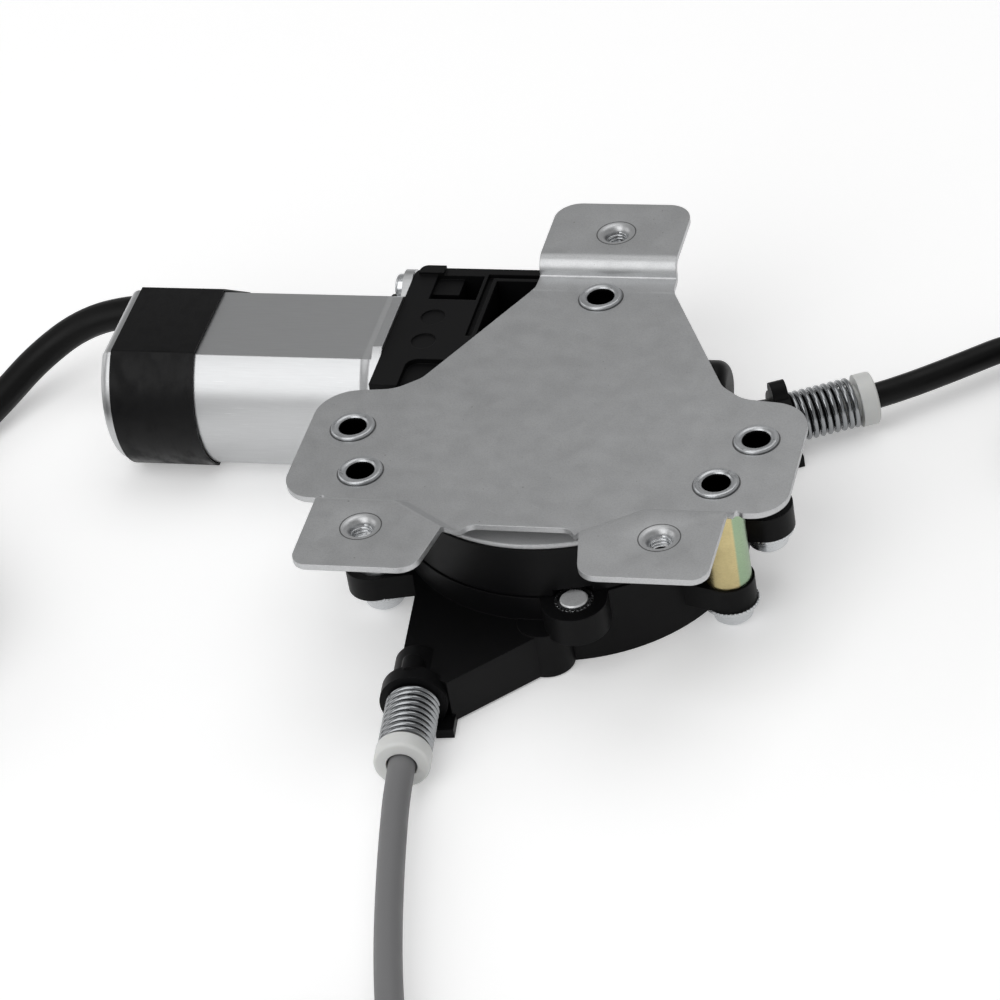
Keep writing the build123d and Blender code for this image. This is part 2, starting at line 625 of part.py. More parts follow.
def gear_housing():
    """The upper black moulding: the wheel cup, the worm tunnel and the block that carries the motor."""
    cup = post(GEAR_CUP_RADIUS, DRUM_HOUSING_HEIGHT + LOOSE_GAP, GEAR_CUP_TOP)
    cup += post(SPIGOT_RING_RADIUS, EAR_TOP, DRUM_HOUSING_HEIGHT + 1)
    ears = Part()
    for spot in side_spots():
        ears += ear_web(spot, EAR_RADIUS, (SIDE_EAR_BOTTOM, SIDE_EAR_TOP), 16.0)
    clear_of_drum_housing = post(DRUM_HOUSING_RADIUS + LOOSE_GAP, -1, DRUM_HOUSING_HEIGHT + LOOSE_GAP)
    clear_of_drum_housing -= rear_of_rim(LOOSE_GAP)
    ears -= clear_of_drum_housing
    motor_block = block(
        (BLOCK_LEFT, BLOCK_RIGHT),
        (BLOCK_FRONT, BLOCK_REAR),
        (BLOCK_BOTTOM, BLOCK_TOP),
    )
    upright = motor_block.edges().filter_by(Axis.Z).group_by(Axis.Y)[-1]
    motor_block = fillet(upright, 3.0)
    motor_block -= clear_of_drum_housing
    motor_block -= post(COVER_RADIUS + LOOSE_GAP, GEAR_CUP_TOP, BLOCK_TOP + 1)
    worm_tube = motor_post(WORM_HOUSING_RADIUS, BLOCK_RIGHT - 5, WORM_END_X)
    worm_tube = fillet(worm_tube.edges().group_by(Axis.X)[-1], 3.0)
    worm_tube += block(
        (BLOCK_RIGHT - 5, WORM_END_X - 6),
        (WORM_Y - 14, WORM_Y),
        (WORM_Z - WORM_HOUSING_RADIUS, WORM_Z + WORM_HOUSING_RADIUS),
    )
    worm_tube -= clear_of_drum_housing
    rear_boss = post(REAR_BOSS_RADIUS, EAR_TOP + SEAT_GAP, REAR_BOSS_TOP, (0, HOLE_CIRCLE_RADIUS))
    reach = LEAD_RADIUS + 2.4
    lead_entry = block(
        (BLOCK_LEFT, BLOCK_LEFT + 12.0),
        (BLOCK_REAR - 3.0, LEAD_Y + reach),
        (LEAD_Z - reach, LEAD_Z + reach),
    )
    lead_entry = fillet(lead_entry.edges().filter_by(Axis.X).group_by(Axis.Y)[-1], 4.0)
    body = cup + ears + motor_block + worm_tube + rear_boss + lead_entry
    body -= block_underside_coring(clear_of_drum_housing)
    body -= post(INSERT_RADIUS + 0.6, EAR_TOP - 1, INSERT_EAR_TOP + 2, INSERT_EAR)
    body -= ring(FAR, SPIGOT_RING_RADIUS, EAR_TOP - 1, DRUM_HOUSING_HEIGHT + LOOSE_GAP) & front_half()
    body -= post(GEAR_CAVITY_RADIUS, EAR_TOP + WALL, GEAR_CUP_TOP + 10)
    body -= post(DRIVER_SHAFT_RADIUS + RUNNING_GAP, 0, 20)
    body -= motor_post(TUNNEL_RADIUS, BLOCK_LEFT - 1, WORM_END_X - WALL)
    body -= motor_post(COMMUTATOR_RADIUS + 4, BLOCK_LEFT - 1, BLOCK_LEFT + 8)
    body -= motor_post(BUSH_RADIUS + SEAT_GAP, FRONT_BUSH_X, FRONT_BUSH_X + BUSH_LENGTH)
    body -= motor_post(BUSH_RADIUS + SEAT_GAP, END_BUSH_X, END_BUSH_X + BUSH_LENGTH)
    for spot in side_spots():
        body -= post(EAR_HOLE_RADIUS, SIDE_EAR_BOTTOM - 1, SIDE_EAR_TOP + 1, spot)
    body -= post(EAR_HOLE_RADIUS, EAR_TOP - 1, REAR_BOSS_TOP + 1, (0, HOLE_CIRCLE_RADIUS))
    for offset in flange_ear_offsets():
        reach = BLOCK_LEFT + MOTOR_SCREW_LENGTH
        body -= motor_post(MOTOR_SCREW_RADIUS + SEAT_GAP, BLOCK_LEFT - 1, reach, offset)
    return body - block_top_pockets() + block_top_details()


def front_half():
    """Everything in front of the line where the drum housing's rim is full height."""
    return block((-34, 34), (-60, REAR_OF_RIM_Y), (-5, 60))


def block_underside_coring(clear_of_drum_housing):
    """The hollow under the motor block, with one cross rib and walls all round."""
    ceiling = WORM_Z - TUNNEL_RADIUS - WALL
    hollow = block(
        (BLOCK_LEFT + WALL, BLOCK_RIGHT - WALL),
        (BLOCK_FRONT + 9, BLOCK_REAR - WALL),
        (BLOCK_BOTTOM - 1, ceiling),
    )
    hollow -= offset_clearance(WALL)
    hollow -= block((BLOCK_LEFT, BLOCK_RIGHT), (WORM_Y + 3, WORM_Y + 3 + WALL), (-5, ceiling + 1))
    return hollow


def offset_clearance(wall):
    """The drum housing's space in the gear housing with a wall added."""
    return post(DRUM_HOUSING_RADIUS + LOOSE_GAP + wall, -5, 40)


def block_top_pockets():
    """The hollows in the block's top: pocket, corner well, groove, front recess and two ejector marks."""
    top = BLOCK_TOP + 1
    pocket = block(
        (POCKET_LEFT, POCKET_LEFT + POCKET_WIDTH),
        (POCKET_FRONT, POCKET_FRONT + POCKET_LENGTH),
        (BLOCK_TOP - POCKET_DEPTH, top),
    )
    pocket += block(
        (WELL_LEFT, BLOCK_RIGHT - WALL),
        (WORM_Y + WORM_HOUSING_RADIUS, WELL_REAR),
        (BLOCK_TOP - WELL_DEPTH, top),
    )
    pocket += block(
        (WELL_LEFT, BLOCK_RIGHT + 1),
        (WELL_FRONT, WORM_Y + WORM_HOUSING_RADIUS + 1),
        (WORM_Z + WORM_HOUSING_RADIUS, top),
    )
    groove_depth = 1.2
    pocket += block(
        (WELL_LEFT - 2.6, WELL_LEFT - 1.0),
        (WELL_FRONT, WELL_REAR + 2.6),
        (BLOCK_TOP - groove_depth, top),
    )
    pocket += block(
        (WELL_LEFT - 2.6, BLOCK_RIGHT + 1),
        (WELL_REAR + 1.0, WELL_REAR + 2.6),
        (BLOCK_TOP - groove_depth, top),
    )
    recess = block(
        (FRONT_RECESS_LEFT, BLOCK_RIGHT + 1),
        (BLOCK_FRONT - 1, FRONT_RECESS_REAR),
        (BLOCK_TOP - FRONT_RECESS_DEPTH, top),
    )
    corner = recess.edges().filter_by(Axis.Z).group_by(Axis.X)[0].sort_by(Axis.Y)[-1]
    pocket += fillet(corner, 3.0)
    for y in DISC_MARK_YS:
        pocket += post(DISC_MARK_RADIUS, BLOCK_TOP - 0.4, top, (DISC_MARK_X, y))
    return pocket


def block_top_details():
    """The cover over the motor screw's end in the square pocket, and the low lip at the block's rear."""
    wide, long = SCREW_COVER_SIZE
    rear = POCKET_FRONT + POCKET_LENGTH + 0.1
    cover = block(
        (POCKET_LEFT - 0.1, POCKET_LEFT + wide),
        (rear - long, rear),
        (BLOCK_TOP - POCKET_DEPTH - 0.1, SCREW_COVER_TOP),
    )
    screw_offset = flange_ear_offsets()[0]
    cover -= motor_post(MOTOR_SCREW_RADIUS + SEAT_GAP, BLOCK_LEFT - 1, BLOCK_LEFT + MOTOR_SCREW_LENGTH, screw_offset)
    wide, long = REAR_LIP_SIZE
    lip = block(
        (REAR_LIP_LEFT, REAR_LIP_LEFT + wide),
        (BLOCK_REAR - long, BLOCK_REAR),
        (BLOCK_TOP - 0.1, BLOCK_TOP + REAR_LIP_RISE),
    )
    lip = fillet(lip.edges().filter_by(Axis.Z).group_by(Axis.X)[0].sort_by(Axis.Y)[-1], 2.0)
    return cover + lip


def gear_cover():
    """The pressed steel lid of the wheel cup, with its edge rounded by the press."""
    lid = post(COVER_RADIUS, GEAR_CUP_TOP + SEAT_GAP, COVER_TOP)
    return fillet(lid.edges().group_by(Axis.Z)[-1], COVER_ROUND)


def tooth_gap(width_at_pitch, flank):
    """Half widths of a tooth at its root, pitch line and tip."""
    slope = math.tan(math.radians(flank))
    root = width_at_pitch / 2 + 1.25 * GEAR_MODULE * slope
    tip = width_at_pitch / 2 - GEAR_MODULE * slope
    return root, tip


def wheel_blank():
    """The toothed rim of the worm wheel, with teeth leaning to the worm's lead."""
    pitch = math.pi * GEAR_MODULE
    root_half, tip_half = tooth_gap(pitch / 2 - TOOTH_BACKLASH, TOOTH_FLANK)
    points = []
    for number in range(WHEEL_TEETH):
        middle = 2 * math.pi * number / WHEEL_TEETH + math.pi / 2 + math.pi / WHEEL_TEETH
        root_turn = root_half / WHEEL_ROOT_RADIUS
        tip_turn = tip_half / WHEEL_TIP_RADIUS
        corners = (
            (WHEEL_ROOT_RADIUS, -root_turn),
            (WHEEL_TIP_RADIUS, -tip_turn),
            (WHEEL_TIP_RADIUS, tip_turn),
            (WHEEL_ROOT_RADIUS, root_turn),
        )
        for radius, turn in corners:
            angle = middle + turn
            points.append((radius * math.cos(angle), radius * math.sin(angle)))
    lead_angle = math.atan(WORM_LEAD / (2 * math.pi * WORM_PITCH_RADIUS))
    shift = WHEEL_WIDTH * math.tan(lead_angle)
    twist = math.degrees(shift / WHEEL_PITCH_RADIUS)
    section = Rot(0, 0, -twist / 2) * make_face(Polyline(*points, close=True))
    solid = Solid.extrude_linear_with_rotation(
        section.face(),
        center=(0, 0, 0),
        normal=(0, 0, WHEEL_WIDTH),
        angle=twist,
    )
    return Pos(0, 0, WHEEL_BOTTOM) * Part(solid.wrapped)


def lobe_ring(outer, inner, bottom, top, width_angle, turn):
    """Three blocks of a ring, spaced evenly round the drum axis."""
    result = Part()
    full = ring(outer, inner, bottom, top)
    half = math.radians(width_angle / 2)
    reach = outer * 2
    wedge = make_face(
        Polyline(
            (0, 0),
            (reach * math.cos(half), -reach * math.sin(half)),
            (reach * math.cos(half), reach * math.sin(half)),
            close=True,
        )
    )
    sector = Pos(0, 0, bottom - 1) * extrude(wedge, top - bottom + 2)
    for number in range(DAMPER_LOBES):
        result += full & (Rot(0, 0, turn + 360 * number / DAMPER_LOBES) * sector)
    return result


def worm_wheel():
    """The nylon wheel: teeth, a pocket for the damper and three driving ribs."""
    wheel = wheel_blank()
    floor = WHEEL_BOTTOM + DAMPER_FLOOR
    wheel -= ring(DAMPER_OUTER, WHEEL_HUB_RADIUS, floor, WHEEL_TOP + 1)
    ribs = lobe_ring(DAMPER_OUTER + 0.5, WHEEL_HUB_RADIUS - 0.5, floor - 0.5, WHEEL_TOP - RIB_DROP, LOBE_ANGLE, 0)
    wheel += ribs
    wheel -= ring(WHEEL_ROOT_RADIUS - 3, DAMPER_OUTER + 2.5, WHEEL_TOP - 2.5, WHEEL_TOP + 1)
    wheel -= post(DRIVER_SHAFT_RADIUS + 0.2, 0, 60)
    return wheel


def wheel_damper():
    """The rubber ring of soft blocks between the wheel's ribs and the driver's claws."""
    floor = WHEEL_BOTTOM + DAMPER_FLOOR + 0.1
    gap = LOOSE_GAP
    slack = 2.0
    claw_turn = 180 / DAMPER_LOBES
    rubber = ring(DAMPER_OUTER - gap, WHEEL_HUB_RADIUS + gap, floor, WHEEL_TOP - 0.2)
    rib_top = WHEEL_TOP - RIB_DROP + 0.1
    ribs = lobe_ring(DAMPER_OUTER + 1, WHEEL_HUB_RADIUS - 1, floor - 1, rib_top, LOBE_ANGLE + slack, 0)
    claw_low = WHEEL_BOTTOM + DAMPER_FLOOR + CLAW_LIFT - 0.2
    claws = lobe_ring(
        DAMPER_OUTER + 1, WHEEL_HUB_RADIUS - 1, claw_low, WHEEL_TOP + 1, LOBE_ANGLE + slack, claw_turn
    )
    return rubber - ribs - claws


def driver_hub():
    """The steel driver: a disc with three claws and a dogged shaft down to the drum."""
    low = WHEEL_TOP + 0.2
    hub = post(DRIVER_RADIUS, low, low + DRIVER_THICKNESS)
    claw_low = WHEEL_BOTTOM + DAMPER_FLOOR + CLAW_LIFT
    claw_turn = 180 / DAMPER_LOBES
    hub += lobe_ring(DRIVER_RADIUS, WHEEL_HUB_RADIUS + 1.0, claw_low, low + 0.5, LOBE_ANGLE, claw_turn)
    shaft_low = DRUM_BOTTOM + DRUM_HEIGHT + 0.2
    hub += post(DRIVER_SHAFT_RADIUS, shaft_low, low + 1)
    hub += dog(DRIVER_SHAFT_RADIUS, shaft_low - DOG_HEIGHT, shaft_low + 0.5, 0)
    hub -= post(SPINDLE_RADIUS + RUNNING_GAP, 0, 60)
    return hub


def dog(radius, bottom, top, growth):
    """A toothed dog that keys the driver into the drum."""
    core = post(radius * 0.72 + growth, bottom, top)
    half = radius * 0.2 + growth
    for number in range(DOG_TEETH // 2):
        bar = block((-radius - growth, radius + growth), (-half, half), (bottom, top))
        core += Rot(0, 0, 360 * number / DOG_TEETH) * bar
    return core & post(radius + growth, bottom, top)


def spindle():
    """The fixed steel pin that the wheel, driver and drum turn on."""
    pin = post(SPINDLE_RADIUS, 0.2, GEAR_CUP_TOP - 0.4)
    return chamfer(pin.edges().filter_by(GeomType.CIRCLE), 0.5)


def spindle_washer():
    """The washer that holds the driver down on the spindle."""
    low = WHEEL_TOP + 0.2 + DRIVER_THICKNESS + 0.2
    return ring(WASHER_RADIUS, SPINDLE_RADIUS + SEAT_GAP, low, low + WASHER_THICKNESS)


def wrap_path(start, end):
    """A helix on the drum at the rope's radius between two winding angles, rising to +Z."""
    rise = GROOVE_PITCH * (end - start) / (2 * math.pi)
    middle = (start + end) / 2
    first_z = OUTLET_Z + GROOVE_PITCH * (start - wrap_middle()) / (2 * math.pi)
    path = Helix(pitch=GROOVE_PITCH, height=rise, radius=DRUM_ROPE_RADIUS)
    return Pos(0, 0, first_z) * Rot(0, 0, math.degrees(start)) * path


def wrap_angles():
    """Winding angles where the side rope meets the drum and where the front rope leaves it."""
    (front, _), (side, _) = outlets()
    first = rope_contact(side, ROPE_SIDES[1])
    last = rope_contact(front, ROPE_SIDES[0]) + 2 * math.pi * ROPE_TURNS
    return first, last


def wrap_middle():
    """The winding angle at the middle of the wraps, where the helix is level with the outlets."""
    return sum(wrap_angles()) / 2


def swept(path, radius):
    """A round bar along a path."""
    return sweep(Plane(path @ 0, z_dir=path % 0) * Circle(radius), path=path, is_frenet=True)


def drum():
    """The cable drum, with a helical groove, two nipple pockets and a dog socket."""
    low = DRUM_BOTTOM
    high = DRUM_BOTTOM + DRUM_HEIGHT
    body = post(DRUM_RADIUS, low, high)
    first, last = wrap_angles()
    lead_in = math.pi * 0.35
    body -= swept(wrap_path(first - lead_in, last + lead_in), GROOVE_RADIUS)
    body -= ring(DRUM_ROPE_RADIUS - 5.0, DRIVER_SHAFT_RADIUS + 3, low + 2.4, high + 1)
    body += drum_spokes(low, high)
    body -= dog(DRIVER_SHAFT_RADIUS, high - DOG_HEIGHT - 0.1, high + 1, 0.1)
    body -= post(SPINDLE_RADIUS + RUNNING_GAP, 0, 60)
    return body


def drum_spokes(low, high):
    """Radial webs across the drum's recess."""
    web = Part()
    for number in range(6):
        bar = block(
            (DRIVER_SHAFT_RADIUS + 2, DRUM_ROPE_RADIUS - 4),
            (-0.9, 0.9),
            (low + 2, high - 1.5),
        )
        web += Rot(0, 0, 60 * number + 30) * bar
    return web


def inner_ropes():
    """The stretches of rope between the drum and each conduit, bent a little at the outlet."""
    result = []
    for (base, heading), side in zip(outlets(), ROPE_SIDES):
        angle = rope_contact(base, side)
        contact = Vector(*contact_point(angle, OUTLET_Z))
        mouth = Vector(base[0], base[1], OUTLET_Z)
        start = contact + (mouth - contact).normalized() * ROPE_STANDOFF
        turn = math.radians(heading)
        along = Vector(math.cos(turn), math.sin(turn), 0)
        end = mouth + along * (CONDUIT_START - SEAT_GAP)
        path = FilletPolyline(tuple(start), tuple(mouth), tuple(end), radius=[40.0], close=False)
        result.append(sweep(Plane(path @ 0, z_dir=path % 0) * Circle(ROPE_RADIUS), path=path))
    return result


def spring(base, heading):
    """The compensating spring round an outlet's spigot."""
    pitch = (SPRING_LENGTH - 2 * SPRING_WIRE_RADIUS) / SPRING_TURNS
    path = Helix(pitch=pitch, height=pitch * SPRING_TURNS, radius=SPRING_MEAN_RADIUS)
    section = Plane(path @ 0, z_dir=path % 0) * Circle(SPRING_WIRE_RADIUS)
    coil = sweep(section, path=path, is_frenet=True)
    start = OUTLET_FLANGE_THICKNESS + SPRING_WIRE_RADIUS
    return outlet_frame(base, heading) * Pos(start, 0, 0) * Rot(0, 90, 0) * coil


def ferrule(base, heading):
    """The white adjuster cap: a collar that the spring pushes and a tube in the spigot."""
    end = FERRULE_CAP_START + FERRULE_LENGTH
    cap = outlet_post(FERRULE_RADIUS, FERRULE_CAP_START, end)
    cap = fillet(cap.edges().group_by(Axis.X)[-1], 0.8)
    cap += outlet_post(FERRULE_TUBE_RADIUS, FERRULE_START, FERRULE_CAP_START + 1)
    cap -= outlet_post(CONDUIT_RADIUS + RUNNING_GAP, FERRULE_START - 1, end + 1)
    mouth = Cone(CONDUIT_RADIUS + RUNNING_GAP, CONDUIT_RADIUS + FERRULE_MOUTH_FLARE, FERRULE_MOUTH_DEPTH)
    cap -= Pos(end - FERRULE_MOUTH_DEPTH / 2 + 0.001, 0, 0) * Rot(0, 90, 0) * mouth
    return outlet_frame(base, heading) * cap


def can_outline(radius, half_flat, grow=0.0):
    """The motor's section: a circle with two flats, as a face in the motor plane."""
    disc = Circle(radius + grow)
    return disc & Rectangle(4 * radius, 2 * (half_flat + grow))


def along_motor(face, left, right):
    """Extrude a face of the motor plane between two X values."""
    return extrude(MOTOR_PLANE.offset(left) * face, right - left)


def flange_ear_offsets():
    """The two screw ears of the motor flange, in the motor plane."""
    y, z = FLANGE_EAR_OFFSET
    return [(y, z), (-y, -z)]


def motor_can():
    """The drawn steel can with its bearing boss and its screw flange."""
    can = along_motor(can_outline(CAN_RADIUS, CAN_HALF_FLAT), CAN_END_X, CAN_MOUTH_X + 0.1)
    can = fillet(can.edges().group_by(Axis.X)[0], 2.2)
    inside = can_outline(CAN_RADIUS - CAN_WALL, CAN_HALF_FLAT - CAN_WALL)
    can -= along_motor(inside, CAN_END_X + CAN_WALL, CAN_MOUTH_X + 1)
    boss = motor_post(END_BOSS_RADIUS, CAN_END_X - END_BOSS_DEPTH, CAN_END_X + BUSH_LENGTH)
    boss = fillet(boss.edges().group_by(Axis.X)[0], 1.0)
    rear_pocket = CAN_END_X - END_BOSS_DEPTH + END_BOSS_WALL
    can = can + boss - motor_post(BUSH_RADIUS + SEAT_GAP, rear_pocket, CAN_END_X + BUSH_LENGTH + 1)
    flange = Circle(CAN_RADIUS) & Rectangle(4 * CAN_RADIUS, 2 * (CAN_HALF_FLAT + FLANGE_LIP))
    for offset in flange_ear_offsets():
        reach = math.hypot(*offset)
        heading = math.degrees(math.atan2(offset[1], offset[0]))
        bar = Rot(0, 0, heading) * Pos(reach / 2, 0) * Rectangle(reach, 2 * FLANGE_EAR_RADIUS)
        flange += bar + Pos(*offset) * Circle(FLANGE_EAR_RADIUS)
    flange -= inside
    for offset in flange_ear_offsets():
        flange -= Pos(*offset) * Circle(MOTOR_SCREW_RADIUS + 0.2)
    return can + along_motor(flange, CAN_MOUTH_X, BLOCK_LEFT - SEAT_GAP)


def can_tape():
    """The black tape that binds the lead to the can: one wrap round both."""
    can = can_outline(CAN_RADIUS, CAN_HALF_FLAT)
    lead = Pos(LEAD_Y - WORM_Y, LEAD_Z - WORM_Z) * Circle(LEAD_RADIUS)
    wrap = make_hull(can.edges() + lead.edges())
    outer = offset(wrap, TAPE_THICKNESS + LOOSE_GAP)
    inner = offset(wrap, LOOSE_GAP)
    return along_motor(outer - inner, CAN_END_X + 3.0, TAPE_RIGHT_X)


def magnets():
    """Two curved ceramic magnets on the round sides of the can."""
    outer = CAN_RADIUS - CAN_WALL - SEAT_GAP
    inner = outer - MAGNET_THICKNESS
    left = MAGNET_CENTRE_X - MAGNET_LENGTH / 2
    right = MAGNET_CENTRE_X + MAGNET_LENGTH / 2
    shell = Circle(outer) - Circle(inner)
    height = 2 * (CAN_HALF_FLAT - CAN_WALL - 1.5)
    shell &= Rectangle(4 * outer, height)
    both = Part()
    for hand in (1, -1):
        keep = Pos(hand * outer, 0) * Rectangle(2 * outer - 1, 4 * outer)
        both += along_motor(shell & keep, left, right)
    return both


def worm_thread():
    """The rolled thread of the worm: a trapezoid swept along its helix, crest at the wheel."""
    pitch = math.pi * GEAR_MODULE
    root_half, tip_half = tooth_gap(pitch / 2 - TOOTH_BACKLASH, TOOTH_FLANK)
    low = WORM_ROOT_RADIUS - 0.4
    low_half = root_half + 0.1
    length = WORM_THREAD_TURNS * WORM_LEAD
    path = Helix(pitch=WORM_LEAD, height=length, radius=WORM_PITCH_RADIUS)
    profile = Polyline(
        (low, -low_half),
        (WORM_TIP_RADIUS, -tip_half),
        (WORM_TIP_RADIUS, tip_half),
        (low, low_half),
        close=True,
    )
    section = Plane.XZ * make_face(profile)
    thread = sweep(section, path=path, is_frenet=True)
    return Pos(-length / 2, WORM_Y, WORM_Z) * Rot(0, 90, 0) * thread


def armature_shaft():
    """The long steel shaft: journals at three bushes, a seat for the core and the rolled worm."""
    rear = REAR_BALL_X + BALL_RADIUS + BALL_GAP
    front = FRONT_BALL_X - BALL_RADIUS - BALL_GAP
    shaft = motor_post(SHAFT_RADIUS, rear, -WORM_LENGTH / 2)
    shaft += motor_post(SHAFT_RADIUS, WORM_LENGTH / 2, front)
    shaft += motor_post(WORM_ROOT_RADIUS, -WORM_LENGTH / 2 - 1, WORM_LENGTH / 2 + 1)
    return shaft + worm_thread()


def armature_core():
    """The slotted steel core."""
    core = Circle(ARMATURE_RADIUS)
    for number in range(CORE_SLOTS):
        slot = Pos(ARMATURE_RADIUS - SLOT_DEPTH / 2 + 0.5, 0) * Rectangle(SLOT_DEPTH + 1, SLOT_WIDTH)
        core -= Rot(0, 0, 360 * number / CORE_SLOTS) * slot
    core -= Circle(SHAFT_RADIUS + SEAT_GAP)
    half = CORE_LENGTH / 2
    return along_motor(core, MAGNET_CENTRE_X - half, MAGNET_CENTRE_X + half)


def armature_windings():
    """The end turns of the enamelled copper winding, one bundle at each end of the core."""
    half = CORE_LENGTH / 2
    bundle = Part()
    for side in (-1, 1):
        start = MAGNET_CENTRE_X + side * (half + SEAT_GAP)
        end = start + side * WINDING_OVERHANG
        left, right = min(start, end), max(start, end)
        turns = motor_post(ARMATURE_RADIUS - 1.2, left, right)
        turns = fillet(turns.edges().filter_by(GeomType.CIRCLE), 1.8)
        turns -= motor_post(SHAFT_RADIUS + 1.0, left - 1, right + 1)
        bundle += turns
    return bundle


def commutator():
    """The copper commutator, cut into bars."""
    right = COMMUTATOR_X + COMMUTATOR_LENGTH
    face = Circle(COMMUTATOR_RADIUS) - Circle(SHAFT_RADIUS + SEAT_GAP)
    for number in range(CORE_SLOTS):
        cut = Pos(COMMUTATOR_RADIUS, 0) * Rectangle(1.6, 0.5)
        face -= Rot(0, 0, 360 * (number + 0.5) / CORE_SLOTS) * cut
    return along_motor(face, COMMUTATOR_X, right)


def brush_card():
    """The plastic card across the can's mouth that holds the brush boxes."""
    left = COMMUTATOR_X + 1.0
    right = left + BRUSH_CARD_THICKNESS
    inside = can_outline(CAN_RADIUS - CAN_WALL - 0.1, CAN_HALF_FLAT - CAN_WALL - 0.1)
    card = along_motor(inside - Circle(COMMUTATOR_RADIUS + 0.8), left, right)
    for hand in (1, -1):
        box_face = Rectangle(BRUSH_LENGTH + 1, BRUSH_WIDTH + 2.4) - Rectangle(BRUSH_LENGTH + 3, BRUSH_WIDTH + 0.1)
        middle = hand * (COMMUTATOR_RADIUS + 1.2 + BRUSH_LENGTH / 2)
        card += along_motor(Pos(middle, 0) * box_face, right - 0.1, right + BRUSH_WIDTH - 1.4)
    return card


def brushes():
    """Two carbon brushes on opposite sides of the commutator."""
    left = COMMUTATOR_X + 1.0 + BRUSH_CARD_THICKNESS + 0.05
    pair = Part()
    for hand in (1, -1):
        middle = hand * (COMMUTATOR_RADIUS + 0.1 + BRUSH_LENGTH / 2)
        face = Pos(middle, 0) * Rectangle(BRUSH_LENGTH, BRUSH_WIDTH)
        pair += along_motor(face, left, left + BRUSH_WIDTH - 1.6)
    return pair


def bushes():
    """The three sintered bushes of the shaft: in the can's end and at both ends of the worm."""
    rear = REAR_BALL_X + BALL_RADIUS
    result = {
        "rear_bush": (rear, CAN_END_X + BUSH_LENGTH - 0.5),
        "front_bush": (FRONT_BUSH_X, FRONT_BUSH_X + BUSH_LENGTH),
        "end_bush": (END_BUSH_X, END_BUSH_X + BUSH_LENGTH),
    }
    for name, (left, right) in result.items():
        solid = motor_post(BUSH_RADIUS, left, right)
        result[name] = solid - motor_post(SHAFT_RADIUS + RUNNING_GAP, left - 1, right + 1)
    return result


def thrust_balls():
    """The two steel balls that take the worm's end thrust."""
    balls = Part()
    for x in (REAR_BALL_X, FRONT_BALL_X):
        balls += Pos(x, WORM_Y, WORM_Z) * Sphere(BALL_RADIUS)
    return balls


def screw(spot, head_top, length):
    """An M6 flanged pan screw that enters an ear from below."""
    points = [
        (0, head_top - SCREW_HEAD_HEIGHT),
        (SCREW_HEAD_RADIUS - 1.0, head_top - SCREW_HEAD_HEIGHT),
        (SCREW_HEAD_RADIUS, head_top - SCREW_HEAD_HEIGHT + 1.0),
        (SCREW_HEAD_RADIUS, head_top - 1.2),
        (SCREW_FLANGE_RADIUS, head_top - 1.0),
        (SCREW_FLANGE_RADIUS, head_top),
        (SCREW_RADIUS, head_top),
        (SCREW_RADIUS, head_top + length - 0.8),
        (SCREW_RADIUS - 0.8, head_top + length),
        (0, head_top + length),
    ]
    body = revolved(points, spot)
    drive = Pos(spot[0], spot[1], head_top - SCREW_HEAD_HEIGHT + 0.9)
    return body - drive * extrude(RegularPolygon(2.2, 6), 2.0, both=True)


def motor_screws():
    """The two screws that hold the motor flange to the gear housing."""
    pair = Part()
    for offset in flange_ear_offsets():
        head_right = CAN_MOUTH_X - SEAT_GAP
        head = motor_post(MOTOR_HEAD_RADIUS, head_right - 2.4, head_right, offset)
        head = fillet(head.edges().group_by(Axis.X)[0], 1.0)
        shank = motor_post(MOTOR_SCREW_RADIUS, head_right - 1, BLOCK_LEFT + MOTOR_SCREW_LENGTH - 1, offset)
        pair += head + shank
    return pair


def insert():
    """The knurled steel insert in the front ear."""
    low = INSERT_EAR_TOP - INSERT_EAR_THICKNESS + 0.2
    body = ring(INSERT_RADIUS, INSERT_BORE, low, INSERT_EAR_TOP + 0.2, INSERT_EAR)
    for number in range(INSERT_KNURLS):
        angle = 2 * math.pi * number / INSERT_KNURLS
        x = INSERT_EAR[0] + INSERT_RADIUS * math.cos(angle)
        y = INSERT_EAR[1] + INSERT_RADIUS * math.sin(angle)
        body -= post(0.25, INSERT_EAR_TOP - 1.0, INSERT_EAR_TOP + 1, (x, y))
    return body


def insert_plug():
    """The flat set screw that closes the insert."""
    low = INSERT_EAR_TOP - INSERT_EAR_THICKNESS + 0.6
    plug = post(INSERT_BORE - RUNNING_GAP, low, INSERT_EAR_TOP + 0.5, INSERT_EAR)
    return chamfer(plug.edges().filter_by(GeomType.CIRCLE).group_by(Axis.Z)[-1], 0.3)


def lead_grommet():
    """The rubber sleeve where the motor lead leaves the gear housing."""
    left = BLOCK_LEFT - 9.0
    points = [
        (LEAD_RADIUS + 0.15, left),
        (LEAD_RADIUS + 1.2, left),
        (LEAD_RADIUS + 2.2, BLOCK_LEFT - 2.2),
        (LEAD_RADIUS + 2.2, BLOCK_LEFT - 0.05),
        (LEAD_RADIUS + 0.15, BLOCK_LEFT - 0.05),
    ]
    outline = Polyline(*[(along, 0, radius) for radius, along in points], close=True)
    solid = revolve(make_face(outline), Axis.X)
    solid = Pos(0, LEAD_Y, LEAD_Z) * solid
    beside_can = can_outline(CAN_RADIUS, CAN_HALF_FLAT, LOOSE_GAP)
    return solid - along_motor(beside_can, left - 1, BLOCK_LEFT)


def cord_radii(points, least):
    """Arc radii for a cord's corners: each as large as its two runs allow."""
    radii = []
    for before, corner, after in zip(points, points[1:], points[2:]):
        first = Vector(*corner) - Vector(*before)
        second = Vector(*after) - Vector(*corner)
        turn = math.radians(first.get_angle(second))
        shorter = min(first.length, second.length)
        radii.append(0.45 * shorter / math.tan(turn / 2))
    print("arc radii", [round(r, 1) for r in radii], "least allowed", round(least, 1))
    return radii


